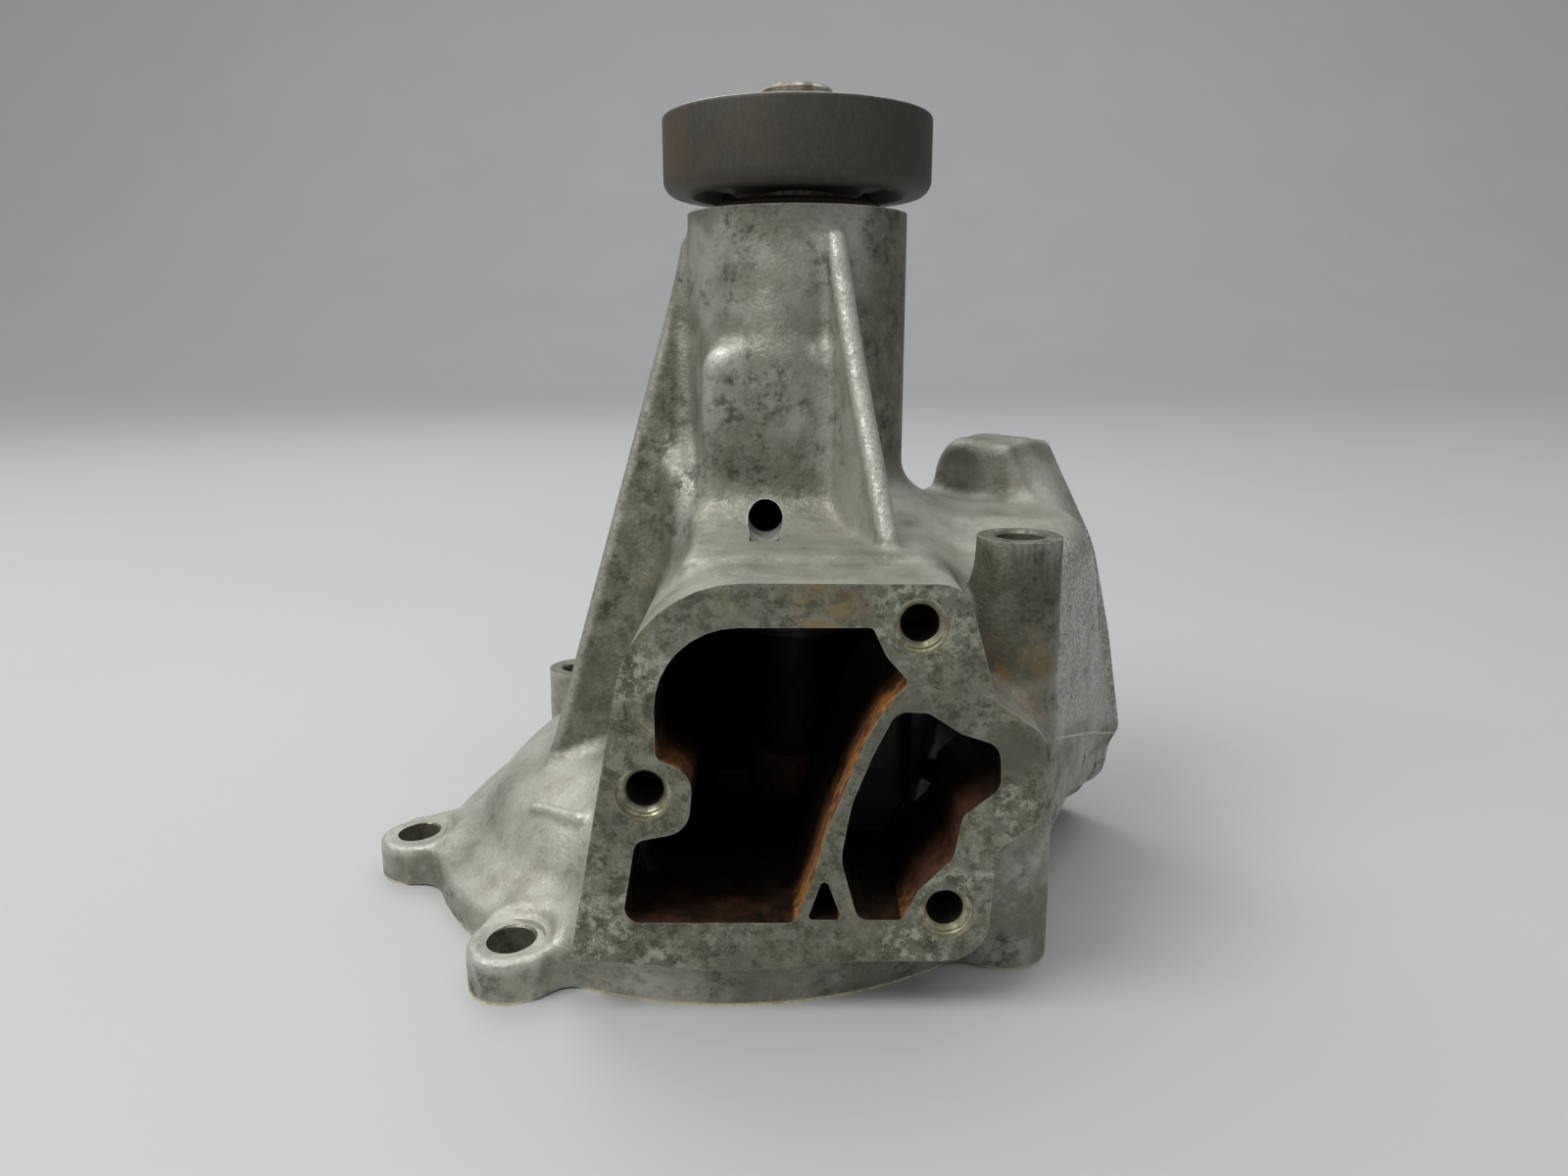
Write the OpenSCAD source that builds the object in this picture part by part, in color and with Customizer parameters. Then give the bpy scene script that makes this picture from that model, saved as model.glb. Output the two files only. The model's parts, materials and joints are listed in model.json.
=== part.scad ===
// Engine water pump: cast housing, hub, integral shaft bearing, mechanical seal and impeller.
// Millimetres. +Z runs along the shaft from the engine face to the hub. -Y is the thermostat side.

/* [Shaft and bearing] */
// Diameter of the shaft ends
shaft_d = 15.918; // [12:0.001:20]
// Diameter of the shaft inside the bearing
race_d = 18.9; // [17:0.01:20]
// Height of the shaft's hub end
shaft_top = 177.9; // [170:0.1:190]
// Outer diameter of the bearing
bearing_d = 38.1; // [30:0.1:42]
// Lower and upper ends of the bearing
bearing_z0 = 97; // [90:0.5:110]
bearing_z1 = 153.2; // [145:0.1:156]
// Rolling elements
ball_d = 7.938; // [6:0.001:9]
ball_count = 8; // [6:1:9]
ball_z = 139.5; // [130:0.5:145]
roller_d = 6; // [5:0.1:7]
roller_len = 11; // [8:0.5:14]
roller_count = 10; // [8:1:11]
roller_z = 113; // [106:0.5:122]

/* [Hub] */
// Outer diameter
hub_d = 60.5; // [50:0.5:80]
// Underside and top face
hub_z0 = 153.9; // [150:0.1:160]
hub_z1 = 171.3; // [165:0.1:172]
// Top of the raised centre
hub_boss_top = 173.5; // [172:0.1:176]
// Threaded fan bolt holes
hub_bolt_circle_d = 44; // [36:0.5:50]
hub_bolt_core_d = 5; // [4:0.1:7]
hub_bolt_count = 4; // [3:1:6]

/* [Engine face] */
// Gasket thickness: the engine touches its underside
gasket_t = 0.5; // [0.2:0.1:2]
// Centre of the round flange, seen from the shaft
flange_x = -14; // [-20:0.5:0]
flange_y = -4; // [-10:0.5:0]
flange_r = 74; // [70:0.5:80]
flange_top = 8.6; // [8:0.1:9]
// Radius of the open chamber in the face
chamber_r = 61; // [58:0.5:62]
// Bolt bosses
bolt_circle_r = 78; // [74:0.5:84]
bolt_d = 9.5; // [8:0.1:11]
lug_r = 8.6; // [7:0.1:11]
lug_top = 9.3; // [8:0.1:10]
spot_face_r = 9.2; // [8.6:0.1:11]
rear_boss_top = 26.4; // [14:0.1:40]
long_boss_top = 87; // [60:0.5:95]

/* [Nose] */
nose_r = 25; // [24:0.5:30]
nose_top = 150.8; // [145:0.1:153]
// Lower part of the nose around the inlet chamber
pedestal_r = 33; // [30:0.5:38]
pedestal_top = 78; // [70:0.5:84]
// Weep hole
weep_d = 7.5; // [4:0.5:9]
weep_x = -7; // [-12:0.5:0]
weep_z = 86; // [82:0.5:94]

/* [Thermostat face] */
// Distance from the shaft axis
front_y = 80; // [70:0.5:90]
// M8 thread core and its counterbore
core_d = 6.8; // [6:0.1:8]
counterbore_d = 10; // [8:0.5:12]

/* [Side flange] */
// Direction that it faces, from +X towards +Y
side_angle = 45; // [30:1:60]
// Distance of its face from the shaft axis
side_d = 60; // [55:0.5:66]
side_t = 12; // [8:0.5:16]

/* [Mechanical seal and impeller] */
seal_bore_d = 36.4; // [30:0.1:40]
// Lower edge of the seal's seat in the housing, and its upper end
seal_z0 = 62; // [58:0.5:66]
seal_z1 = 74; // [70:0.5:78]
impeller_r = 36; // [30:0.5:40]
impeller_z0 = 3; // [2:0.5:6]
vane_top = 13; // [9:0.5:14]
vane_count = 6; // [5:1:8]

/* [Hidden] */
$fn = 96;

shaft_r = shaft_d / 2;
race_r = race_d / 2;
ring_r = bearing_d / 2;
roller_pitch_r = race_r + roller_d / 2 + 0.03;
ring_bore_r = roller_pitch_r + roller_d / 2 + 0.03;
ball_pitch_r = 12.5;
groove_r = ball_d / 2 + 0.03;
face_z = gasket_t;
port_floor = 18.6;
chamber_roof = 75;

// Bolt bosses around the round flange, as [angle from +X, top]
LUGS = [[-123, lug_top], [-166.5, lug_top + 0.2]];
REAR_BOSSES = [[131, rear_boss_top], [75, rear_boss_top - 2]];
LONG_BOSS = [42, -57];
// M8 threads in the thermostat face, as [x, z, depth, depth of the counterbore]
FRONT_THREADS = [[20.8, 75.1, 16, 2], [-28.3, 43.9, 15.4, 2.2], [26.9, 20.4, 14.8, 1.8]];
// M8 threads in the side flange, as [distance along the face, z, depth, depth of the counterbore]
SIDE_THREADS = [[20.5, 89, 14, 1], [46, 18, 13.4, 1.2], [4, 18, 12.8, 0.8]];

// Outlines as [x, z, corner radius]
FLANGE = [[-42.8, 10.8, 1.5], [-29, 82.9, 23], [28.4, 82.6, 6], [34.4, 61.4, 4], [44.8, 54, 7],
          [43.6, 38.4, 7], [35.6, 33.4, 4], [34.4, 10.8, 8]];
BIG_PORT = [[-25.9, 74.9, 15], [-25.9, 50.8, 2], [-19.3, 47.8, 5], [-20.3, 36.8, 5],
            [-30, 34.8, 2.5], [-32.9, 18.6, 3], [-0.8, 18.6, 2.5], [2.4, 28, 0], [5, 37.5, 0],
            [8.4, 46.3, 0], [11.6, 54.3, 0], [14.6, 59.8, 0], [19, 65, 1.2], [14.9, 69.6, 0],
            [12.4, 74.9, 1]];
SMALL_PORT = [[16.8, 59.6, 3.5], [22.5, 59.4, 3], [28.5, 55.4, 0], [35.4, 53.2, 3.5], [35.9, 45.2, 3.5],
              [29.2, 39.8, 3], [27.8, 31.5, 4], [21.6, 25.2, 4], [18.8, 19.2, 1.5], [10.6, 19.2, 2.5],
              [7.3, 31.2, 9], [9.2, 42.2, 0], [12.9, 51.6, 0]];
POCKET = [[4.4, 28.4, 0.8], [1.2, 19.2, 0.8], [7.7, 19.2, 0.8]];
SIDE = [[12, 98, 9], [31.5, 98, 2], [46.5, 73, 30], [52.3, 51, 30], [57, 26.5, 4], [46, 4, 5],
        [2, 4, 8], [-6, 26, 10]];
SIDE_PORT = [[10, 72, 9], [33, 72, 9], [42, 44, 9], [36, 28, 8], [8, 28, 8]];

function unit(v) = v / norm(v);
function arc(c, r, from, to, n) = [for (i = [0:n]) c + r * [cos(from + (to - from) * i / n),
                                                             sin(from + (to - from) * i / n)]];
// The arc of radius r that rounds corner b between a and c
function fillet(a, b, c, r) =
    let (u = unit(a - b), v = unit(c - b), half = acos(u * v) / 2,
         centre = b + unit(u + v) * r / sin(half), s = b + u * r / tan(half) - centre,
         from = atan2(s.y, s.x), turn = sign(cross(u, v)) * (180 - 2 * half))
    arc(centre, r, from, from - turn, 5);
function xy(p) = [p.x, p.y];
function outline(p) = [for (i = [0:len(p) - 1])
    each p[i][2] == 0 ? [xy(p[i])]
        : fillet(xy(p[(i + len(p) - 1) % len(p)]), xy(p[i]), xy(p[(i + 1) % len(p)]), p[i][2])];

// ---- placing helpers ----

module at_flange_bolt(boss) {
    translate([flange_x, flange_y, 0]) rotate([0, 0, boss[0]]) translate([bolt_circle_r, 0, 0])
        children();
}

// An outline in X and Z, pushed from y0 to y1
module upright(points, y0, y1) {
    translate([0, y1, 0]) rotate([90, 0, 0]) linear_extrude(y1 - y0) polygon(points);
}

// An outline in Y and Z, pushed from x0 to x1
module along_x(points, x0, x1) {
    translate([x0, 0, 0]) rotate([90, 0, 90]) linear_extrude(x1 - x0) polygon(points);
}

// An outline on the side flange, pushed inwards from distance d0 to d1 of the shaft axis
module on_side(points, d0, d1) {
    rotate([90, 0, side_angle - 90]) translate([0, 0, -d0]) linear_extrude(d0 - d1)
        polygon(points);
}

// A shape centred on one point of the side flange, pushed inwards in the same way
module on_side_at(p, d0, d1) {
    rotate([90, 0, side_angle - 90]) translate([p.x, p.y, -d0]) linear_extrude(d0 - d1) children();
}

module tube(r_out, r_in, z0, z1) {
    translate([0, 0, z0]) difference() {
        cylinder(r = r_out, h = z1 - z0);
        translate([0, 0, -1]) cylinder(r = r_in, h = z1 - z0 + 2);
    }
}

module rod(r, z0, z1) { translate([0, 0, z0]) cylinder(r = r, h = z1 - z0); }

module lathe(points) { rotate_extrude() polygon(points); }

// ---- housing ----

module base_flange() {
    translate([flange_x, flange_y, 0]) rod(flange_r, face_z, flange_top);
    for (b = LUGS) {
        at_flange_bolt(b) rod(lug_r, face_z, b[1]);
        towards_bolt(b, 60, b[1] - 0.4);
    }
    for (b = REAR_BOSSES) {
        at_flange_bolt(b) rod(lug_r, face_z, b[1]);
        towards_bolt(b, 52, b[1] - 4);
    }
}

// The block between the flange and a bolt boss, from a distance of its centre
module towards_bolt(boss, from, top) {
    translate([flange_x, flange_y, face_z]) rotate([0, 0, boss[0]])
        translate([from, -lug_r + 0.8, 0])
            cube([bolt_circle_r - from, 2 * lug_r - 1.6, top - face_z]);
}

// The rounded shoulder over the chamber
module volute_dome() {
    translate([flange_x, flange_y, 0]) lathe([[0, face_z], [66, face_z], [66, 11], [62.5, 14],
        [60, 18.5], [57.5, 22.5], [54, 25], [50.5, 27], [44, 30.5], [33, 36], [0, 36]]);
}

module nose() {
    rod(nose_r, 20, nose_top);
    rod(pedestal_r, 5, pedestal_top);
    translate([0, 0, pedestal_top]) cylinder(r1 = pedestal_r, r2 = nose_r, h = 12);
    // thicker front with the weep hole in it
    upright(outline([[-20, 60, 0], [-20, 122, 3], [8, 122, 3], [8, 60, 0]]), -26.2, 0);
}

module inlet_body() {
    intersection() {
        upright(outline(FLANGE), -front_y, 0);
        translate([0, 0, 5]) linear_extrude(80)
            polygon([[-50, -front_y], [50, -front_y], [50, -52], [33, 0], [-33, 0], [-44, -52]]);
    }
    // roof that rises to the nose
    along_x([[-60, 70], [-60, 82.8], [-34, 82.8], [-30, 84.5], [-29, 87], [0, 87], [0, 70]], -24, 26);
}

// Thicker towards its foot
module left_web() {
    intersection() {
        upright([[-20, 20], [-60, 20], [-57, 30], [-26, 146], [-20, 146]], -30, 4);
        along_x([[-28, 10], [-28, 30], [-4, 128], [-4, 150], [5, 150], [5, 10]], -70, -10);
    }
}

module front_rib() {
    rotate([0, 0, -72.5]) translate([0, 1.8, 0]) rotate([90, 0, 0]) linear_extrude(3.6)
        polygon([[18, 148], [25, 148], [27.6, 143], [40, 118], [59, 83], [18, 80]]);
}

module arm() {
    intersection() {
        translate([0, 0, 8]) linear_extrude(90)
            polygon([[10, -62], [40, -62], [49, -50], [79, 0], [60, 20], [36, 31.8], [10, 30]]);
        along_x([[-70, 5], [-70, 46], [-60, 60], [-45, 77], [-20, 85], [35, 85], [35, 5]], 0, 90);
        // its right edge follows the side flange
        upright([[5, 5], [54, 5], [56, 14], [77.6, 26.5], [74.4, 51], [70, 73], [63.5, 86], [5, 90]], -90, 50);
    }
    on_side_at([20.5, 76], side_d - 4, 20) circle(r = 9);
}

module side_flange() {
    on_side(outline(SIDE), side_d, side_d - side_t);
    for (p = SIDE_THREADS) on_side_at(p, side_d - 0.5, p.y > 50 ? 38 : 42) circle(r = 8.8);
}

module long_boss() {
    translate([LONG_BOSS.x, LONG_BOSS.y, face_z]) cylinder(r1 = 9, r2 = 8, h = long_boss_top - face_z);
    translate([LONG_BOSS.x - 12, LONG_BOSS.y, face_z]) cube([16, 30, 58]);
}

module inlet_cavity() {
    upright(outline(BIG_PORT), -front_y - 1, -60);
    intersection() {
        upright(outline([[-28, 74.9, 14], [-30, port_floor, 3], [-0.8, port_floor, 2.5], [5, 37.5, 0],
                         [11.8, 54.3, 0], [19.2, 64.8, 2.5], [12.4, 74.9, 1.5]]), -62, 0);
        translate([0, 0, 10]) linear_extrude(80)
            polygon([[-40, -62], [30, -62], [27, 0], [-27, 0]]);
    }
    rod(27, port_floor, chamber_roof);
}

module side_passage() {
    upright(outline(SMALL_PORT), -front_y - 1, -42);
    translate([0, 0, 22]) linear_extrude(48)
        polygon([[23, -46], [33, -46], [39, -44], [56, -8], [39, 24.7], [34.5, 0], [28, -24]]);
    on_side(outline(SIDE_PORT), side_d + 1, 36);
    // from the pump chamber
    translate([37, -16, 5]) cylinder(r = 7.5, h = 25);
}

// Open to the engine face, with the impeller in it
module pump_chamber() {
    translate([flange_x, flange_y, 0]) lathe([[0, face_z - 1], [chamber_r, face_z - 1],
        [chamber_r, 9], [58, 13.8], [0, 13.8]]);
    difference() {
        translate([flange_x, flange_y, 0]) lathe(concat([[38, 12], [57, 12]],
            arc([50, 13], 7, 0, 75, 5), [[38, 22]]));
        rod(pedestal_r, 5, 40);
        translate([-50, -front_y, 0]) cube([100, front_y - 8, 40]);
        translate([0, -20, 0]) cube([80, 100, 40]);
    }
    rod(23, 5, port_floor + 1);
}

module shaft_bores() {
    rod(ring_r, bearing_z0, nose_top + 1);
    rod(13, seal_z1 - 1, bearing_z0 + 1);
    rod(seal_bore_d / 2, seal_z0 - 1, seal_z1);
    translate([weep_x, -nose_r - 10, weep_z]) rotate([-90, 0, 0]) cylinder(d = weep_d, h = 26);
}

module front_threads() {
    for (p = FRONT_THREADS) translate([p.x, -front_y - 1, p.y]) rotate([-90, 0, 0]) {
        cylinder(d = core_d, h = p[2] + 1);
        cylinder(d = counterbore_d, h = p[3] + 1);
    }
}

module side_threads() {
    for (p = SIDE_THREADS) {
        on_side_at(p, side_d + 1, side_d - p[2]) circle(d = core_d);
        on_side_at(p, side_d + 1, side_d - p[3]) circle(d = counterbore_d);
    }
}

module base_bolt_holes() {
    for (b = LUGS) at_flange_bolt(b) rod(spot_face_r, b[1], b[1] + 12);
    for (b = concat(LUGS, REAR_BOSSES)) at_flange_bolt(b) rod(bolt_d / 2, -1, 40);
    translate([LONG_BOSS.x, LONG_BOSS.y, 0]) rod(bolt_d / 2, -1, long_boss_top + 1);
}

module pump_housing() {
    color("silver") difference() {
        union() {
            base_flange();
            volute_dome();
            nose();
            inlet_body();
            left_web();
            front_rib();
            arm();
            side_flange();
            long_boss();
        }
        difference() {
            inlet_cavity();
            tube(22.5, 5, seal_z0, 90);
        }
        side_passage();
        pump_chamber();
        shaft_bores();
        upright(outline(POCKET), -front_y - 1, -front_y + 12);
        front_threads();
        side_threads();
        base_bolt_holes();
    }
}

module mounting_gasket() {
    color("wheat") difference() {
        union() {
            translate([flange_x, flange_y, 0]) rod(flange_r, 0, gasket_t);
            for (b = concat(LUGS, REAR_BOSSES)) at_flange_bolt(b) rod(lug_r, 0, gasket_t);
            translate([LONG_BOSS.x, LONG_BOSS.y, 0]) rod(9, 0, gasket_t);
        }
        translate([flange_x, flange_y, -1]) cylinder(r = chamber_r, h = 3);
        for (b = concat(LUGS, REAR_BOSSES)) at_flange_bolt(b) rod(bolt_d / 2, -1, 2);
        translate([LONG_BOSS.x, LONG_BOSS.y, 0]) rod(bolt_d / 2, -1, 2);
    }
}

// ---- bearing ----

module bearing_outer_ring() {
    color("saddlebrown") difference() {
        tube(ring_r, ring_bore_r, bearing_z0, bearing_z1);
        translate([0, 0, ball_z]) rotate_extrude() translate([ball_pitch_r, 0]) circle(groove_r);
    }
}

module lip_seal(z0, z1) { tube(ring_bore_r, race_r + 0.35, z0, z1); }

module front_bearing_seal() { color("black") lip_seal(bearing_z1 - 3.4, bearing_z1 - 0.8); }

module rear_bearing_seal() { color("black") lip_seal(bearing_z0 + 0.8, bearing_z0 + 3.4); }

module bearing_balls() {
    color("lightgray") for (i = [0:ball_count - 1]) rotate([0, 0, i * 360 / ball_count])
        translate([ball_pitch_r, 0, ball_z]) sphere(d = ball_d);
}

module ball_cage() {
    color("goldenrod") difference() {
        tube(13.8, 11.2, ball_z - 2, ball_z + 5.6);
        for (i = [0:ball_count - 1]) rotate([0, 0, i * 360 / ball_count])
            translate([ball_pitch_r, 0, ball_z]) sphere(r = ball_d / 2 + 0.08);
    }
}

module bearing_rollers() {
    color("lightgray") for (i = [0:roller_count - 1]) rotate([0, 0, i * 360 / roller_count])
        translate([roller_pitch_r, 0, roller_z - roller_len / 2]) cylinder(d = roller_d, h = roller_len);
}

module roller_cage() {
    color("goldenrod") difference() {
        tube(13.7, 11.3, roller_z - roller_len / 2 - 2.4, roller_z + roller_len / 2 + 2.4);
        for (i = [0:roller_count - 1]) rotate([0, 0, i * 360 / roller_count])
            translate([roller_pitch_r, 0, roller_z - roller_len / 2 - 0.1])
                cylinder(d = roller_d + 0.16, h = roller_len + 0.2);
    }
}

// ---- mechanical seal ----

module seal_case() {
    r = seal_bore_d / 2;
    color("gold") lathe([[r + 3, seal_z0 - 1], [r + 3, seal_z0], [r, seal_z0], [r, seal_z1],
        [10.5, seal_z1], [10.5, seal_z1 - 1], [r - 1, seal_z1 - 1], [r - 1, seal_z0 - 1]]);
}

module seal_bellows() {
    z = seal_z1 - 1;
    color("dimgray") lathe([[9.9, z], [16.8, z], [16.8, z - 1.4], [11.2, z - 1.4], [11.2, z - 7.2],
        [13.2, z - 7.2], [13.2, z - 8.4], [9.9, z - 8.4]]);
}

module seal_spring_retainer() { color("lightsteelblue") tube(16, 11.4, seal_z1 - 8.2, seal_z1 - 7.5); }

// A round-wire coil, drawn as one closed strip of rings
module seal_spring() {
    turns = 3;
    steps = 72;
    sides = 10;
    wire = 0.6;
    z0 = seal_z1 - 6.8;
    rise = 3.7 / turns;
    points = [for (i = [0:steps], j = [0:sides - 1])
        let (a = 360 * turns * i / steps, b = 360 * j / sides, r = 14 + wire * cos(b))
        [r * cos(a), r * sin(a), z0 + rise * a / 360 + wire * sin(b)]];
    walls = [for (i = [0:steps - 1], j = [0:sides - 1])
        let (a = i * sides + j, b = i * sides + (j + 1) % sides)
        [a, b, b + sides, a + sides]];
    ends = [[for (j = [sides - 1:-1:0]) j], [for (j = [0:sides - 1]) steps * sides + j]];
    color("silver") polyhedron(points, concat(walls, ends));
}

module bellows_ferrule() { color("gold") tube(13.8, 13.2, seal_z1 - 10.6, seal_z1 - 8.2); }

module seal_carbon_ring() {
    z = seal_z1 - 9.4;
    color("black") lathe([[9.7, z], [13.2, z], [13.2, z - 3], [11.8, z - 3], [11.8, z - 4],
        [9.7, z - 4]]);
}

module seal_seat_ring() { color("white") tube(14, 8.7, seal_z1 - 17.4, seal_z1 - 13.45); }

module seal_seat_cup() {
    z = seal_z1 - 18.8;
    color("dimgray") lathe([[shaft_r, z], [15.2, z], [15.2, z + 4], [14, z + 4], [14, z + 1.4],
        [8.7, z + 1.4], [8.7, z + 5], [shaft_r, z + 5]]);
}

// ---- rotor ----

module shaft() {
    color("lightgray") difference() {
        union() {
            rod(shaft_r, impeller_z0 - 0.5, shaft_top - 1);
            translate([0, 0, shaft_top - 1]) cylinder(r1 = shaft_r, r2 = shaft_r - 1, h = 1);
            rod(race_r, bearing_z0 + 0.3, bearing_z1 - 0.2);
        }
        translate([0, 0, ball_z]) rotate_extrude() translate([ball_pitch_r, 0]) circle(groove_r);
        // relief where the hub's seat ends and the pilot starts
        tube(shaft_r + 1, shaft_r - 0.25, hub_boss_top - 0.8, hub_boss_top);
    }
}

module hub() {
    r = hub_d / 2;
    color("dimgray") difference() {
        lathe(concat([[shaft_r, hub_z0 + 1.4], [15, hub_z0 + 1.4], [17, hub_z0 + 3.4], [22, hub_z0 + 3.4],
            [24, hub_z0]], arc([r - 3.2, hub_z0 + 3.2], 3.2, -90, 0, 6),
            arc([r - 1, hub_z1 - 1], 1, 0, 90, 3), [[12, hub_z1], [10.5, hub_boss_top],
            [shaft_r, hub_boss_top]]));
        for (i = [0:hub_bolt_count - 1]) rotate([0, 0, 45 + i * 360 / hub_bolt_count])
            translate([hub_bolt_circle_d / 2, 0, hub_z0 - 1])
                cylinder(d = hub_bolt_core_d, h = hub_z1 - hub_z0 + 2);
    }
}

module slinger() {
    color("dimgray") lathe([[shaft_r, 89], [9.5, 89], [9.5, 90.5], [11.8, 90.5], [11.8, 92],
        [shaft_r, 92]]);
}

// One backward-curved vane: a slice of a ring whose centre is off the shaft axis
module vane() {
    intersection() {
        translate([14, 16, 0]) tube(23, 20.4, impeller_z0 + 1, vane_top);
        translate([0, -36, 0]) cube([40, 30, 20]);
    }
}

module impeller() {
    color("peru") difference() {
        union() {
            rod(impeller_r, impeller_z0, impeller_z0 + 2.6);
            translate([0, 0, impeller_z0 + 2.6]) cylinder(r1 = 14, r2 = 11.5, h = 6);
            rod(11.5, impeller_z0, 24);
            intersection() {
                for (i = [0:vane_count - 1]) rotate([0, 0, i * 360 / vane_count]) vane();
                rod(impeller_r, 0, 30);
            }
        }
        rod(shaft_r, -1, 40);
    }
}

pump_housing();
mounting_gasket();
bearing_outer_ring();
front_bearing_seal();
rear_bearing_seal();
seal_case();
seal_bellows();
seal_spring();
seal_spring_retainer();
bellows_ferrule();
seal_carbon_ring();
shaft();
hub();
slinger();
seal_seat_ring();
seal_seat_cup();
impeller();
ball_cage();
bearing_balls();
roller_cage();
bearing_rollers();
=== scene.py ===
"""Looks of the water pump: the cast housing with its fillets, the machined faces and the finishes."""

import json
import math

import bmesh
import bpy
import numpy as np
import openvdb
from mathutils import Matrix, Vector


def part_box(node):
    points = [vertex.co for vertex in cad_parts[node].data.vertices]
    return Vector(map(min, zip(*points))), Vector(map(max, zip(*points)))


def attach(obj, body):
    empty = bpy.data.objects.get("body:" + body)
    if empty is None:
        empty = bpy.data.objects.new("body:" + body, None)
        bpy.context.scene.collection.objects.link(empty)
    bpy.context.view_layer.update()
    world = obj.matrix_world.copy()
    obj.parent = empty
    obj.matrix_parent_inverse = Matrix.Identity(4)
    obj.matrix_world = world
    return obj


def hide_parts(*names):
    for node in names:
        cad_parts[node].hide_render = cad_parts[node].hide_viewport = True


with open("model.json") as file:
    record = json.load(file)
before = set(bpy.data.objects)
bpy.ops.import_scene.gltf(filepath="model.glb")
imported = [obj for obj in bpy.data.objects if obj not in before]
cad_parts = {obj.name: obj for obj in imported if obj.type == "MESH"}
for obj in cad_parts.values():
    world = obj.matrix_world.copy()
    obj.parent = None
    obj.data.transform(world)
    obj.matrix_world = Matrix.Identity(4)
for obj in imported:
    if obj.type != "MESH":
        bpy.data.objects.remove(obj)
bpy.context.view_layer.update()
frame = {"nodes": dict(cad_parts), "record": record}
RECORD = frame["record"]
MOUNTS = {m["name"]: m for m in RECORD["mounts"]}
MM = 0.001
VOXEL = 0.9  # mm


def mm(values):
    return [v / MM for v in values]


def mount_mm(name):
    return mm(MOUNTS[name]["pos_m"])


def box_mm(node):
    low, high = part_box(node)
    return mm(low), mm(high)


# ---- sizes, in mm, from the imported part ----

HOUSING_LOW, HOUSING_HIGH = box_mm("pump_housing")
FACE_Z = HOUSING_LOW[2]
NOSE_TOP = HOUSING_HIGH[2]
FRONT_Y = -mount_mm("thermostat_face")[1]
SIDE_AXIS = MOUNTS["side_face"]["axis"]
SIDE_D = sum(a * b for a, b in zip(mount_mm("side_face"), SIDE_AXIS))
BOLT_R = MOUNTS["front_lug_hole"]["dims"]["r_mm"]
CORE_R = MOUNTS["front_thread_top"]["dims"]["r_mm"]
BOLT_HOLES = ("front_lug_hole", "left_lug_hole", "rear_left_hole", "rear_hole", "long_bolt_hole")
FRONT_THREADS = ("front_thread_top", "front_thread_left", "front_thread_right")
SIDE_THREADS = ("side_thread_top", "side_thread_front", "side_thread_rear")
FLANGE_C = (-14.0, -4.0)
FLANGE_R = 74.0
LUG_R = 8.6
NOSE_R = 25.0
BALL_PITCH_R = 12.5
GROOVE_R = 4.0


def top_of(hole):
    m = MOUNTS[hole]
    return m["pos_m"][2] / MM + m["dims"]["length_mm"] / 2


# ---- outlines, as in the CAD: corners with a radius ----

FLANGE = [(-42.8, 10.8, 1.5), (-29, 82.9, 23), (28.4, 82.6, 6), (34.4, 61.4, 4), (44.8, 54, 7),
          (43.6, 38.4, 7), (35.6, 33.4, 4), (34.4, 10.8, 8)]
BIG_PORT = [(-25.9, 74.9, 15), (-25.9, 50.8, 2), (-19.3, 47.8, 5), (-20.3, 36.8, 5),
            (-30, 34.8, 2.5), (-32.9, 18.6, 3), (-0.8, 18.6, 2.5), (2.4, 28, 8), (5, 37.5, 0),
            (8.4, 46.3, 20), (11.6, 54.3, 0), (14.6, 59.8, 6), (19, 65, 1.2), (14.9, 69.6, 6), (12.4, 74.9, 1)]
BIG_INNER = [(-28, 74.9, 14), (-30, 18.6, 3), (-0.8, 18.6, 2.5), (5, 37.5, 20),
             (11.8, 54.3, 20), (19.2, 64.8, 2.5), (12.4, 74.9, 1.5)]
SMALL_PORT = [(16.8, 59.6, 3.5), (22.5, 59.4, 3), (28.5, 55.4, 6), (35.4, 53.2, 3.5), (35.9, 45.2, 3.5),
              (29.2, 39.8, 3), (27.8, 31.5, 4), (21.6, 25.2, 4), (18.8, 19.2, 1.5), (10.6, 19.2, 2.5),
              (7.3, 31.2, 9), (9.2, 42.2, 20), (12.9, 51.6, 20)]
POCKET = [(4.4, 28.4, 0.8), (1.2, 19.2, 0.8), (7.7, 19.2, 0.8)]
SIDE = [(12, 98, 9), (31.5, 98, 2), (46.5, 73, 30), (52.3, 51, 30), (57, 26.5, 4), (46, 4, 5),
        (2, 4, 8), (-6, 26, 10)]
SIDE_PORT = [(10, 72, 9), (33, 72, 9), (42, 44, 9), (36, 28, 8), (8, 28, 8)]


def fillet(a, b, c, r, n):
    u, v = (a - b) / np.linalg.norm(a - b), (c - b) / np.linalg.norm(c - b)
    half = math.acos(float(u @ v)) / 2
    mid = (u + v) / np.linalg.norm(u + v)
    centre = b + mid * r / math.sin(half)
    s = b + u * r / math.tan(half) - centre
    start = math.atan2(s[1], s[0])
    turn = -math.copysign(math.pi - 2 * half, u[0] * v[1] - u[1] * v[0])
    t = start + turn * np.linspace(0, 1, n + 1)
    return [centre + r * np.array([math.cos(x), math.sin(x)]) for x in t]


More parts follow.
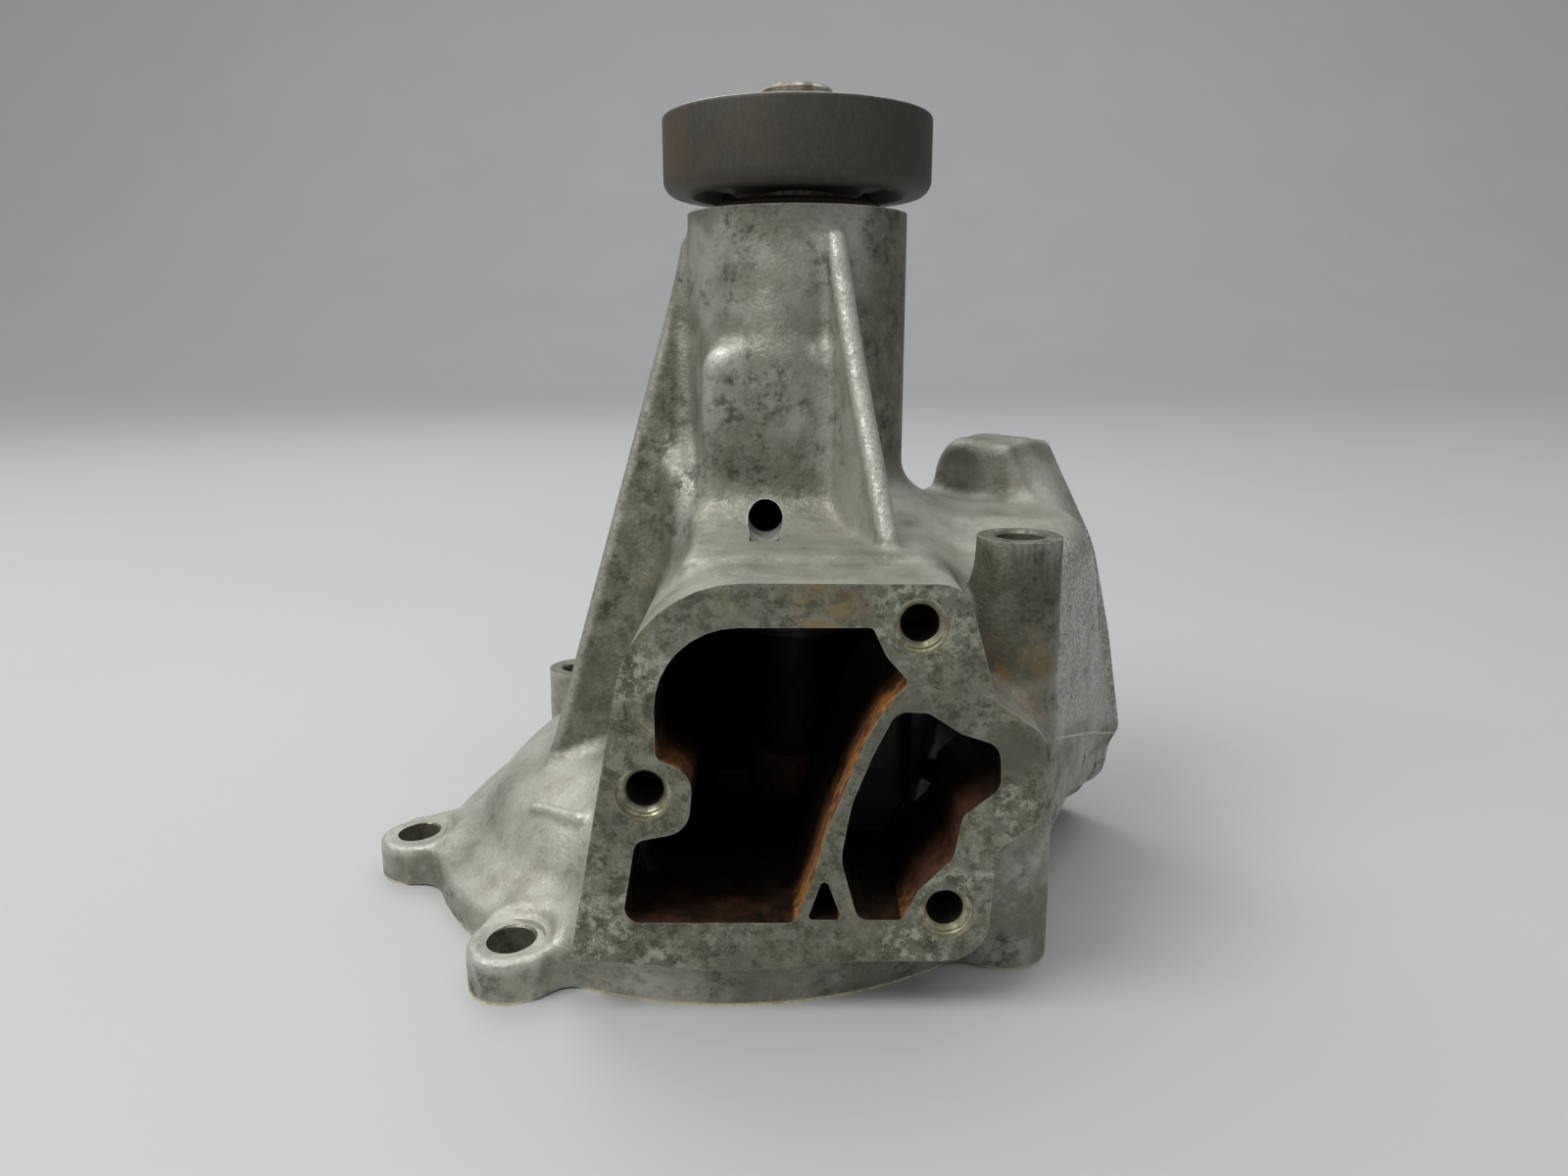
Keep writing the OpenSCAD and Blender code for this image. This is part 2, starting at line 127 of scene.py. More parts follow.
def outline(corners, grow=0.0, n=8):
    """Corner points with radii to a closed outline; grow moves it outwards."""
    p = [np.array(c[:2], float) for c in corners]
    out = []
    for i, corner in enumerate(corners):
        if corner[2] == 0:
            out.append(p[i])
        else:
            out += fillet(p[i - 1], p[i], p[(i + 1) % len(p)], corner[2], n)
    out = np.array(out)
    if grow:
        nxt, prv = np.roll(out, -1, 0), np.roll(out, 1, 0)
        t = nxt - prv
        t /= np.linalg.norm(t, axis=1)[:, None]
        area = np.sum(out[:, 0] * nxt[:, 1] - nxt[:, 0] * out[:, 1])
        out = out + np.stack([t[:, 1], -t[:, 0]], 1) * grow * np.sign(area)
    return out


# ---- distance fields, in mm, negative inside ----

PAD = 4.0
LOW = np.array([HOUSING_LOW[0] - PAD, HOUSING_LOW[1] - PAD, FACE_Z - PAD])
COUNT = [int(math.ceil((h + PAD - l) / VOXEL)) + 1 for l, h in zip(LOW, HOUSING_HIGH)]
AX = [(LOW[i] + VOXEL * np.arange(COUNT[i])).astype(np.float32) for i in range(3)]
X, Y, Z = AX[0][:, None, None], AX[1][None, :, None], AX[2][None, None, :]


def smin(a, b, k):
    h = np.maximum(k - np.abs(a - b), 0) / k
    return np.minimum(a, b) - h * h * (k / 4)


def smax(a, b, k):
    return -smin(-a, -b, k)


def capped(side, along, r):
    """An extrusion from its distance across and its distance along, with its edges rounded by r."""
    a, b = side + r, along + r
    return np.minimum(np.maximum(a, b), 0) + np.hypot(np.maximum(a, 0), np.maximum(b, 0)) - r


def upright_cylinder(c, r, z0, z1, edge=0.5, r_top=None):
    taper = 0 if r_top is None else (r_top - r) * np.clip((Z - z0) / (z1 - z0), 0, 1)
    side = np.hypot(X - c[0], Y - c[1]) - r - taper
    return capped(side, np.abs(Z - (z0 + z1) / 2) - (z1 - z0) / 2, edge)


def polygon_distance(points, a, b):
    """Signed distance in the plane to a closed outline, for coordinate grids a and b."""
    best = np.full(np.broadcast(a, b).shape, 1e9)
    inside = np.zeros(best.shape, bool)
    for p, q in zip(points, np.roll(points, -1, 0)):
        e = q - p
        wa, wb = a - p[0], b - p[1]
        t = np.clip((wa * e[0] + wb * e[1]) / max(e @ e, 1e-12), 0, 1)
        best = np.minimum(best, np.hypot(wa - t * e[0], wb - t * e[1]))
        crosses = (p[1] > b) != (q[1] > b)
        with np.errstate(divide="ignore", invalid="ignore"):
            at = p[0] + (b - p[1]) * e[0] / (e[1] if e[1] else 1e-12)
        inside ^= crosses & (a < at)
    return np.where(inside, -best, best).astype(np.float32)


class Table:
    """An outline's distance on a fine flat grid, looked up for any pair of coordinates."""

    def __init__(self, points, step=0.5, margin=40):
        lo, hi = points.min(0) - margin, points.max(0) + margin
        self.lo, self.step = lo, step
        n = np.ceil((hi - lo) / step).astype(int) + 1
        a = lo[0] + step * np.arange(n[0])[:, None]
        b = lo[1] + step * np.arange(n[1])[None, :]
        self.d, self.n = polygon_distance(points, a, b), n

    def __call__(self, a, b):
        i = np.clip((a - self.lo[0]) / self.step, 0, self.n[0] - 1.001)
        j = np.clip((b - self.lo[1]) / self.step, 0, self.n[1] - 1.001)
        i, j = np.broadcast_arrays(i, j)
        i0, j0 = i.astype(np.int32), j.astype(np.int32)
        fi, fj = (i - i0).astype(np.float32), (j - j0).astype(np.float32)
        d = self.d
        top = d[i0, j0] * (1 - fj) + d[i0, j0 + 1] * fj
        low = d[i0 + 1, j0] * (1 - fj) + d[i0 + 1, j0 + 1] * fj
        return top * (1 - fi) + low * fi


def between(coordinate, lo, hi):
    return np.abs(coordinate - (lo + hi) / 2) - (hi - lo) / 2


def upright(points, y0, y1, edge=0.5):
    flat = polygon_distance(points, AX[0][:, None], AX[2][None, :])[:, None, :]
    return capped(flat, between(Y, y0, y1), edge)


def plan(points, z0, z1, edge=0.5):
    flat = polygon_distance(points, AX[0][:, None], AX[1][None, :])[:, :, None]
    return capped(flat, between(Z, z0, z1), edge)


def along_x(points, x0, x1, edge=0.5):
    flat = polygon_distance(points, AX[1][:, None], AX[2][None, :])[None, :, :]
    return capped(flat, between(X, x0, x1), edge)


def lathe_field(points, c=(0, 0)):
    """A revolved outline. Its points on the axis go past it, so that no wall forms there."""
    p = np.array(points, float)
    p[p[:, 0] == 0, 0] = -30
    return Table(p)(np.hypot(X - c[0], Y - c[1]), Z)


SIDE_U = X * SIDE_AXIS[1] - Y * SIDE_AXIS[0]
SIDE_N = X * SIDE_AXIS[0] + Y * SIDE_AXIS[1]


def on_side(points, d0, d1, edge=0.5):
    return capped(Table(points)(SIDE_U, Z), between(SIDE_N, d1, d0), edge)


def capsule(p, q, r0, r1=None):
    """A rod with round ends from p to q, tapering from r0 to r1."""
    p, q = np.array(p, float), np.array(q, float)
    e = q - p
    wx, wy, wz = X - p[0], Y - p[1], Z - p[2]
    t = np.clip((wx * e[0] + wy * e[1] + wz * e[2]) / (e @ e), 0, 1)
    d = np.sqrt((wx - t * e[0]) ** 2 + (wy - t * e[1]) ** 2 + (wz - t * e[2]) ** 2)
    return d - (r0 + t * ((r0 if r1 is None else r1) - r0))


def ellipsoid(c, r):
    k = np.sqrt(((X - c[0]) / r[0]) ** 2 + ((Y - c[1]) / r[1]) ** 2 + ((Z - c[2]) / r[2]) ** 2)
    return (k - 1) * min(r)


# ---- the casting ----

def hole_xy(name):
    return mount_mm(name)[:2]


def lug(name, stock):
    c = hole_xy(name)
    top = top_of(name) + stock
    direction = np.array(c) - np.array(FLANGE_C)
    direction /= np.linalg.norm(direction)
    inner = np.array(FLANGE_C) + direction * 58
    boss = upright_cylinder(c, LUG_R, -3, top, 0.8)
    across = np.abs((X - inner[0]) * direction[1] - (Y - inner[1]) * direction[0]) - LUG_R + 1.6
    along = between((X - inner[0]) * direction[0] + (Y - inner[1]) * direction[1], 0, 20)
    web = capped(np.maximum(across, along), between(Z, -3, min(top - 1.6, 18)), 1.0)
    return smin(boss, web, 5)


def smooth(points, n=5):
    """A smooth curve through the points (Catmull-Rom)."""
    p = np.array([points[0], *points, points[-1]], float)
    out = []
    for a, b, c, d in zip(p, p[1:], p[2:], p[3:]):
        for t in np.arange(n) / n:
            out.append(0.5 * (2 * b + (c - a) * t + (2 * a - 5 * b + 4 * c - d) * t * t
                              + (3 * b - a - 3 * c + d) * t ** 3))
    return [tuple(q) for q in out] + [tuple(points[-1])]


def dome_points():
    shoulder = [(66, 10), (63, 13.5), (60.6, 18), (57.8, 22.2), (54.3, 25.2), (50.3, 27.4), (44, 30.6),
                (33, 35)]
    return [(0, -4), (66, -4)] + smooth(shoulder) + [(0, 36)]


def base_field():
    d = upright_cylinder(FLANGE_C, FLANGE_R, -3, 8.6, 2.2)
    d = smin(d, lathe_field(dome_points(), FLANGE_C), 8)
    # the left flank is flatter
    d = smax(d, -0.705 * X + 0.091 * Y + 0.703 * Z - 65.3, 4)
    for name in BOLT_HOLES[:2]:
        d = smin(d, lug(name, 0.15), 7)
        # room for the bolt's head
        d = smax(d, -upright_cylinder(hole_xy(name), LUG_R - 0.7, top_of(name) + 0.15, 50, 1), 3)
    for name in BOLT_HOLES[2:4]:
        d = smin(d, lug(name, 1.5), 6)
    # a short raised bar on the shoulder, left by the casting tool
    return smin(d, capsule((-57.6, -40.6, 24.0), (-46.0, -49.6, 25.2), 1.0, 1.3), 0.8)


def nose_field():
    d = upright_cylinder((0, 0), NOSE_R, 20, NOSE_TOP + 3, 0.8)
    d = smin(d, upright_cylinder((0, 0), 33, 5, 82, 4), 14)
    # the front is thicker below two small shoulders, and runs smoothly into them between
    pad = upright(outline([(-22, 50, 0), (-20.5, 122.5, 6), (8.5, 122.5, 6), (13, 50, 0)]), -26.4, 0, 4)
    return smin(smin(d, pad, 4), ellipsoid((-4.5, -15, 118), (8, 11.2, 26)), 4)


def inlet_field():
    d = upright(outline(FLANGE), -FRONT_Y - 2, 0, 0.4)
    tapers = plan(np.array([(-50.0, -90), (50, -90), (50, -52), (33, 0), (-33, 0), (-44, -52)]), -5, 95, 2)
    d = smax(d, tapers, 4)
    roof = along_x(np.array([(-60.0, 66), (-60, 82.6), (-31, 82.6), (-28, 84.5), (0, 85), (0, 66)]), -22, 24, 2)
    return smin(d, roof, 5)


def web_field():
    """The left web; its front leans out towards the foot."""
    points = np.array([(-10.0, 20), (-60, 20), (-57, 30), (-26.2, 144.5), (-10, 144.5)])
    lean = along_x(np.array([(-28.0, 6), (-28, 30), (-4, 128), (-3, 160), (4.5, 160), (4.5, 6)]), -90, 20, 1.5)
    return smax(upright(points, -34, 8, 1.0), lean, 3)


def rib_field():
    a = math.radians(-72.5)
    c, s = math.cos(a), math.sin(a)
    crest = [(r * c, r * s, z) for r, z in ((26.0, 143.5), (28.0, 139.0), (38.5, 117.5), (57.5, 84.5))]
    bead = np.minimum.reduce([capsule(p, q, 2.15) for p, q in zip(crest, crest[1:])])
    radial, across = X * c + Y * s, -X * s + Y * c
    wall = Table(np.array([(10.0, 144), (26, 143), (38, 117), (57, 84), (57, 76), (10, 76)]))(radial, Z)
    return smin(bead, capped(wall, np.abs(across) - 1.3, 0.8), 1.5)


def arm_field():
    points = np.array([(10.0, -62), (40, -62), (49, -50), (79, 0), (60, 20), (36, 31.8), (10, 30)])
    profile = np.array([(-75.0, 5), (-75, 40), (-60, 59), (-45, 76), (-20, 84.5), (35, 84.5), (35, 5)])
    d = smax(plan(points, 5, 100, 3), along_x(profile, 0, 95, 3), 8)
    right = [(-5, 5, 0), (54, 5, 2), (56, 14, 4), (77.6, 26.5, 4), (74.4, 51, 30), (70, 73, 20), (63, 87, 6),
             (-5, 95, 0)]
    d = smax(d, upright(outline(right), -95, 60, 1), 4)
    return smin(d, capsule((8, 6, 70), (46, 23, 70), 13.5), 4)


def side_field():
    d = on_side(outline(SIDE), SIDE_D + 2, SIDE_D - 12, 1.2)
    for name in SIDE_THREADS:
        p = mount_mm(name)
        u = p[0] * SIDE_AXIS[1] - p[1] * SIDE_AXIS[0]
        depth = 38 if p[2] > 50 else 42
        boss = capped(np.hypot(SIDE_U - u, Z - p[2]) - 8.8, between(SIDE_N, depth, SIDE_D), 2.0)
        d = smin(d, boss, 2)
    # the corner right of the top boss is as thick as the boss
    corner = [(16, 60, 0), (16, 98, 2), (31.5, 98, 2), (46.5, 73, 30), (48, 60, 0)]
    return smin(d, on_side(outline(corner), SIDE_D - 6, 39, 3.5), 5)


def long_boss_field():
    x, y = hole_xy("long_bolt_hole")
    d = upright_cylinder((x, y), 9.2, -3, top_of("long_bolt_hole") + 2, 0.5, 8.1)
    wall = np.array([(x - 12, y), (x + 5, y), (x + 5, y + 26), (x - 12, y + 26)])
    return smin(d, plan(wall, -3, 55, 3), 5)


def outer_field():
    d = smin(base_field(), nose_field(), 10)
    d = smin(d, web_field(), 3.5)
    d = smin(d, smin(inlet_field(), arm_field(), 9), 9)
    d = smin(d, rib_field(), 2.4)
    d = smin(d, side_field(), 5)
    d = smin(d, long_boss_field(), 7)
    # the small raised pad at the corner of the nose and the left web
    return smin(d, ellipsoid((-26.6, -14.6, 88.5), (4.0, 5.0, 7.5)), 7)


def inlet_hollow():
    mouth = upright(outline(BIG_PORT, -0.6), -FRONT_Y - 6, -60, 0.3)
    inner = upright(outline(BIG_INNER), -62, 2, 0.3)
    inner = smax(inner, plan(np.array([(-40.0, -66), (34, -66), (27, 0), (-27, 0)]), 5, 90, 1), 3)
    d = smin(smin(mouth, inner, 2), upright_cylinder((0, 0), 27, 18.6, 75, 2), 3)
    return smax(d, -upright_cylinder((0, 0), 22.5, 62, 90, 1), 2)


def passage_hollow():
    d = upright(outline(SMALL_PORT, -0.6), -FRONT_Y - 6, -42, 0.3)
    duct = np.array([(23.0, -46), (33, -46), (39, -44), (56, -8), (39, 24.7), (34.5, 0), (28, -24)])
    d = smin(d, plan(duct, 22, 70, 2), 4)
    d = smin(d, on_side(outline(SIDE_PORT, -0.6), SIDE_D + 6, 36, 0.3), 3)
    return smin(d, upright_cylinder((37, -16), 7.5, 5, 30), 2)


def chamber_hollow():
    flat = lathe_field([(0, -6), (61, -6), (61, 9), (58, 13.8), (0, 13.8)], FLANGE_C)
    t = np.radians(np.linspace(0, 75, 8))
    arc = [(50 + 7 * math.cos(a), 13 + 7 * math.sin(a)) for a in t]
    raised = lathe_field([(38, 8), (57, 8)] + arc + [(38, 22)], FLANGE_C)
    raised = smax(raised, -upright_cylinder((0, 0), 33, 5, 40), 2)
    raised = smax(raised, -np.maximum(np.abs(X) - 50, Y + 8), 2)
    raised = smax(raised, np.minimum(X, Y + 20), 2)
    eye = upright_cylinder((0, 0), 23, 5, 20, 0.3)
    return smin(smin(flat, raised, 3), eye, 1)


# ---- from field to mesh ----

CAST, MACHINED, BORE, INSIDE, THREAD = range(5)


def sample(field, points):
    """The field at points in mm, between its grid values."""
    g = np.clip((points - LOW) / VOXEL, 0, np.array(field.shape) - 1.001)
    i = g.astype(int)
    f = (g - i).astype(np.float32)
    out = np.zeros(len(points), np.float32)
    for dx, dy, dz in np.ndindex(2, 2, 2):
        w = np.abs(1 - dx - f[:, 0]) * np.abs(1 - dy - f[:, 1]) * np.abs(1 - dz - f[:, 2])
        out += w * field[i[:, 0] + dx, i[:, 1] + dy, i[:, 2] + dz]
    return out


def box_blur(field, radius):
    n = max(1, int(round(radius / VOXEL)))
    for axis in range(3):
        padded = np.concatenate([np.take(field, [0] * (n + 1), axis), field,
                                 np.take(field, [-1] * n, axis)], axis)
        total = np.cumsum(padded, axis, dtype=np.float64)
        size = field.shape[axis]
        upper = np.take(total, np.arange(2 * n + 1, 2 * n + 1 + size), axis)
        lower = np.take(total, np.arange(size), axis)
        field = ((upper - lower) / (2 * n + 1)).astype(np.float32)
    return field


def to_scene(name, data):
    ob = bpy.data.objects.new(name, data)
    bpy.context.scene.collection.objects.link(ob)
    return ob


def new_object(name, vertices, faces, material=0):
    """A mesh object from points in mm."""
    me = bpy.data.meshes.new(name)
    me.from_pydata((np.asarray(vertices, float) * MM).tolist(), [], [list(f) for f in faces])
    me.polygons.foreach_set("material_index", np.full(len(me.polygons), material, np.int32))
    me.update()
    return to_scene(name, me)


def field_mesh(name, field):
    grid = openvdb.FloatGrid(3.0)
    grid.copyFromArray(np.clip(field, -3, 3).astype(np.float32))
    points, triangles, quads = grid.convertToPolygons(isovalue=0.0, adaptivity=0.0)
    points = LOW + VOXEL * points.astype(float)
    a, b, c = (points[quads[:, i]] for i in range(3))
    if np.einsum("ij,ij->", a, np.cross(b, c)) < 0:
        quads = quads[:, ::-1]
        triangles = triangles[:, ::-1]
    return new_object(name, points, quads.tolist() + triangles.tolist(), CAST)


def apply_modifier(ob, kind, **settings):
    mod = ob.modifiers.new(kind.lower(), kind)
    for key, value in settings.items():
        setattr(mod, key, value)
    depsgraph = bpy.context.evaluated_depsgraph_get()
    me = bpy.data.meshes.new_from_object(ob.evaluated_get(depsgraph))
    ob.modifiers.clear()
    old, ob.data = ob.data, me
    bpy.data.meshes.remove(old)


def join(objects, name):
    """One object with all their faces; they don't touch each other."""
    bm = bmesh.new()
    for ob in objects:
        bm.from_mesh(ob.data)
    me = bpy.data.meshes.new(name)
    bm.to_mesh(me)
    bm.free()
    for ob in objects:
        bpy.data.objects.remove(ob)
    return to_scene(name, me)


def cut(ob, cutters):
    tool = join(cutters, "cutter")
    for material in ob.data.materials:
        tool.data.materials.append(material)
    apply_modifier(ob, "BOOLEAN", operation="DIFFERENCE", solver="MANIFOLD", object=tool)
    bpy.data.objects.remove(tool)


# ---- cutters, in mm ----

def place(points, origin, axis):
    """Points with their own z along an axis, moved to an origin."""
    a = np.array(axis, float) / np.linalg.norm(axis)
    helper = np.array([0.0, 0, 1]) if abs(a[2]) < 0.9 else np.array([1.0, 0, 0])
    u = np.cross(helper, a)
    u /= np.linalg.norm(u)
    return np.asarray(origin, float) + np.asarray(points) @ np.array([u, np.cross(a, u), a])


def lathe(name, profile, origin=(0, 0, 0), axis=(0, 0, 1), n=64, material=0):
    """Revolves (r, z) points; where a profile starts and ends on the axis, it closes there."""
    angle = 2 * np.pi * np.arange(n) / n
    vertices, rings = [], []
    for r, z in profile:
        if r == 0:
            rings.append([len(vertices)] * n)
            vertices.append((0, 0, z))
        else:
            rings.append(list(range(len(vertices), len(vertices) + n)))
            vertices += [(r * math.cos(t), r * math.sin(t), z) for t in angle]
    pairs = list(zip(rings, rings[1:]))
    if profile[0][0] != 0:
        pairs.append((rings[-1], rings[0]))
    faces = []
    for low, high in pairs:
        for i in range(n):
            j = (i + 1) % n
            face = [low[i], low[j], high[j], high[i]]
            face = [v for k, v in enumerate(face) if v != face[k - 1]]
            if len(face) > 2:
                faces.append(face)
    return new_object(name, place(vertices, origin, axis), faces, material)


def rod(origin, axis, r, z0, z1, material, n=64):
    return lathe("rod", [(0, z0), (r, z0), (r, z1), (0, z1)], origin, axis, n, material)


def block(low, high, material):
    c = [(low[i], high[i]) for i in range(3)]
    v = [(x, y, z) for x in c[0] for y in c[1] for z in c[2]]
    f = [(0, 1, 3, 2), (4, 6, 7, 5), (0, 4, 5, 1), (2, 3, 7, 6), (0, 2, 6, 4), (1, 5, 7, 3)]
    return new_object("block", v, f, material)


def prism(points, depths, to_space, material):
    """An outline pushed between two depths: to_space(a, b, depth) gives a point."""
    n = len(points)
    v = [to_space(a, b, depth) for depth in depths for a, b in points]
    f = [list(range(n)), list(range(2 * n - 1, n - 1, -1))]
    f += [(i, i + n, (i + 1) % n + n, (i + 1) % n) for i in range(n)]
    ob = new_object("prism", v, f, material)
    bm = bmesh.new()
    bm.from_mesh(ob.data)
    bmesh.ops.triangulate(bm, faces=[x for x in bm.faces if len(x.verts) > 4])
    bmesh.ops.recalc_face_normals(bm, faces=bm.faces)
    bm.to_mesh(ob.data)
    bm.free()
    return ob


def front_prism(points, depth):
    return prism(points, (-FRONT_Y - 8, -FRONT_Y + depth), lambda x, z, y: (x, y, z), INSIDE)


def side_prism(points, d0, d1, material):
    ax, ay, _ = SIDE_AXIS
    return prism(points, (d0, d1), lambda u, z, d: (ax * d + ay * u, ay * d - ax * u, z), material)


def thread_cutter(hole):
    """A tapped hole with its counterbore, threads as rings, and the drill's cone at the bottom."""
    m = MOUNTS[hole]
    length = m["dims"]["length_mm"]
    mouth = np.array(mount_mm(hole)) + np.array(m["axis"]) * length / 2
    pitch, crest, root = 1.25, CORE_R + 0.05, CORE_R + 0.62
    profile = [(0, -6), (5, -6), (5, -0.25), (4.75, 0), (4.3, 0)]
    turns = int((length - 2) / pitch)
    for k in range(turns):
        profile += [(crest, 0.3 + pitch * (k + 0.35)), (root, 0.3 + pitch * (k + 0.85))]
    profile += [(CORE_R, length - 1), (CORE_R, length), (0, length + 1.9)]
    return lathe("thread", profile, mouth, [-x for x in m["axis"]], 48, THREAD)


def bolt_cutter(hole):
    top = top_of(hole)
    profile = [(0, -9), (BOLT_R, -9), (BOLT_R, top - 0.5), (BOLT_R + 0.5, top), (BOLT_R + 0.5, top + 5),
               (0, top + 5)]
    return lathe("bolt", profile, (*mount_mm(hole)[:2], 0), (0, 0, 1), 64, BORE)


def bearing_cutter():
    """The stepped bore for the bearing and the seal, with chamfers."""
    seal_low, seal_high = (v[2] for v in box_mm("seal_case"))
    bearing_low = box_mm("bearing_outer_ring")[0][2]
    ring_r = box_mm("bearing_outer_ring")[1][0]
    profile = [(0, seal_low - 4), (18.9, seal_low - 4), (18.2, seal_low + 1), (18.2, seal_high),
               (13, seal_high), (13, bearing_low), (ring_r, bearing_low), (ring_r, NOSE_TOP - 0.7),
               (ring_r + 0.7, NOSE_TOP), (ring_r + 0.7, NOSE_TOP + 8), (0, NOSE_TOP + 8)]
    return lathe("bore", profile, n=96, material=BORE)


def machine(ob):
    """Every machined cut, in the order of the real part: faces first, then bores and holes."""
    cut(ob, [block((-120, -130, -30), (120, -FRONT_Y, 130), MACHINED)])
    cut(ob, [block((-130, -130, -30), (130, 130, FACE_Z), MACHINED)])
    square = [(-15, -20), (90, -20), (90, 120), (-15, 120)]
    faces = [block((-40, -40, NOSE_TOP), (40, 40, NOSE_TOP + 20), MACHINED),
             side_prism(square, SIDE_D, SIDE_D + 30, MACHINED)]
    for name in BOLT_HOLES:
        r = 6.8 if name in BOLT_HOLES[:2] else 12 if top_of(name) > 20 else LUG_R + 0.6
        faces.append(rod((*hole_xy(name), 0), (0, 0, 1), r, top_of(name), top_of(name) + 14, MACHINED))
    cut(ob, faces)
    cut(ob, [bearing_cutter()] + [bolt_cutter(h) for h in BOLT_HOLES]
        + [thread_cutter(h) for h in FRONT_THREADS + SIDE_THREADS])
    weep = rod((-7, -NOSE_R - 22, 86), (0, 1, 0), 3.75, 0, 38, BORE, 48)
    ports = [front_prism(outline(p), depth) for p, depth in ((BIG_PORT, 20), (SMALL_PORT, 38), (POCKET, 12))]
    cut(ob, ports + [side_prism(outline(SIDE_PORT), SIDE_D + 8, 37, INSIDE), weep])


def mark_sharp(ob):
    """Smooth faces, with sharp edges only where a cut face meets another one."""
    bm = bmesh.new()
    bm.from_mesh(ob.data)
    limit = math.radians(32)
    for e in bm.edges:
        if len(e.link_faces) == 2:
            a, b = (f.material_index for f in e.link_faces)
            e.smooth = not ((a != b or a != CAST) and e.calc_face_angle() > limit)
    for f in bm.faces:
        f.smooth = True
    bm.to_mesh(ob.data)
    bm.free()


def add_attribute(ob, name, values):
    a = ob.data.attributes.new(name, "FLOAT", "POINT")
    a.data.foreach_set("value", np.asarray(values, np.float32))


def points_of(ob):
    co = np.zeros(len(ob.data.vertices) * 3, np.float32)
    ob.data.vertices.foreach_get("co", co)
    return co.reshape(-1, 3) / MM


def housing():
    outer = outer_field()
    hollow = smin(smin(inlet_hollow(), passage_hollow(), 2), chamber_hollow(), 2)
    body = smax(outer, -hollow, 1.5)
    ob = field_mesh("housing_casting", body)
    co = points_of(ob)
    inner = sample(hollow, co) < np.abs(sample(outer, co)) * 0.5 + 0.05
    corners = np.array([p.vertices[0] for p in ob.data.polygons])
    inside = inner[corners] & (np.abs(sample(hollow, co[corners])) < 1.2)
    ob.data.polygons.foreach_set("material_index", np.where(inside, INSIDE, CAST).astype(np.int32))
    for slot in HOUSING_MATERIALS:
        ob.data.materials.append(slot())
    count = len(ob.data.polygons) * 2
    apply_modifier(ob, "DECIMATE", ratio=min(1.0, FACE_BUDGET / count))
    machine(ob)
    mark_sharp(ob)
    co = points_of(ob)
    filled = np.clip(0.5 - outer / VOXEL, 0, 1)
    for name, radius in (("narrow", 1.8), ("broad", 5)):
        add_attribute(ob, name, sample(box_blur(box_blur(filled, radius), radius), co) - 0.5)
    ob.name = "housing_casting"
    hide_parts("pump_housing")
    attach(ob, "housing")


# ---- materials ----

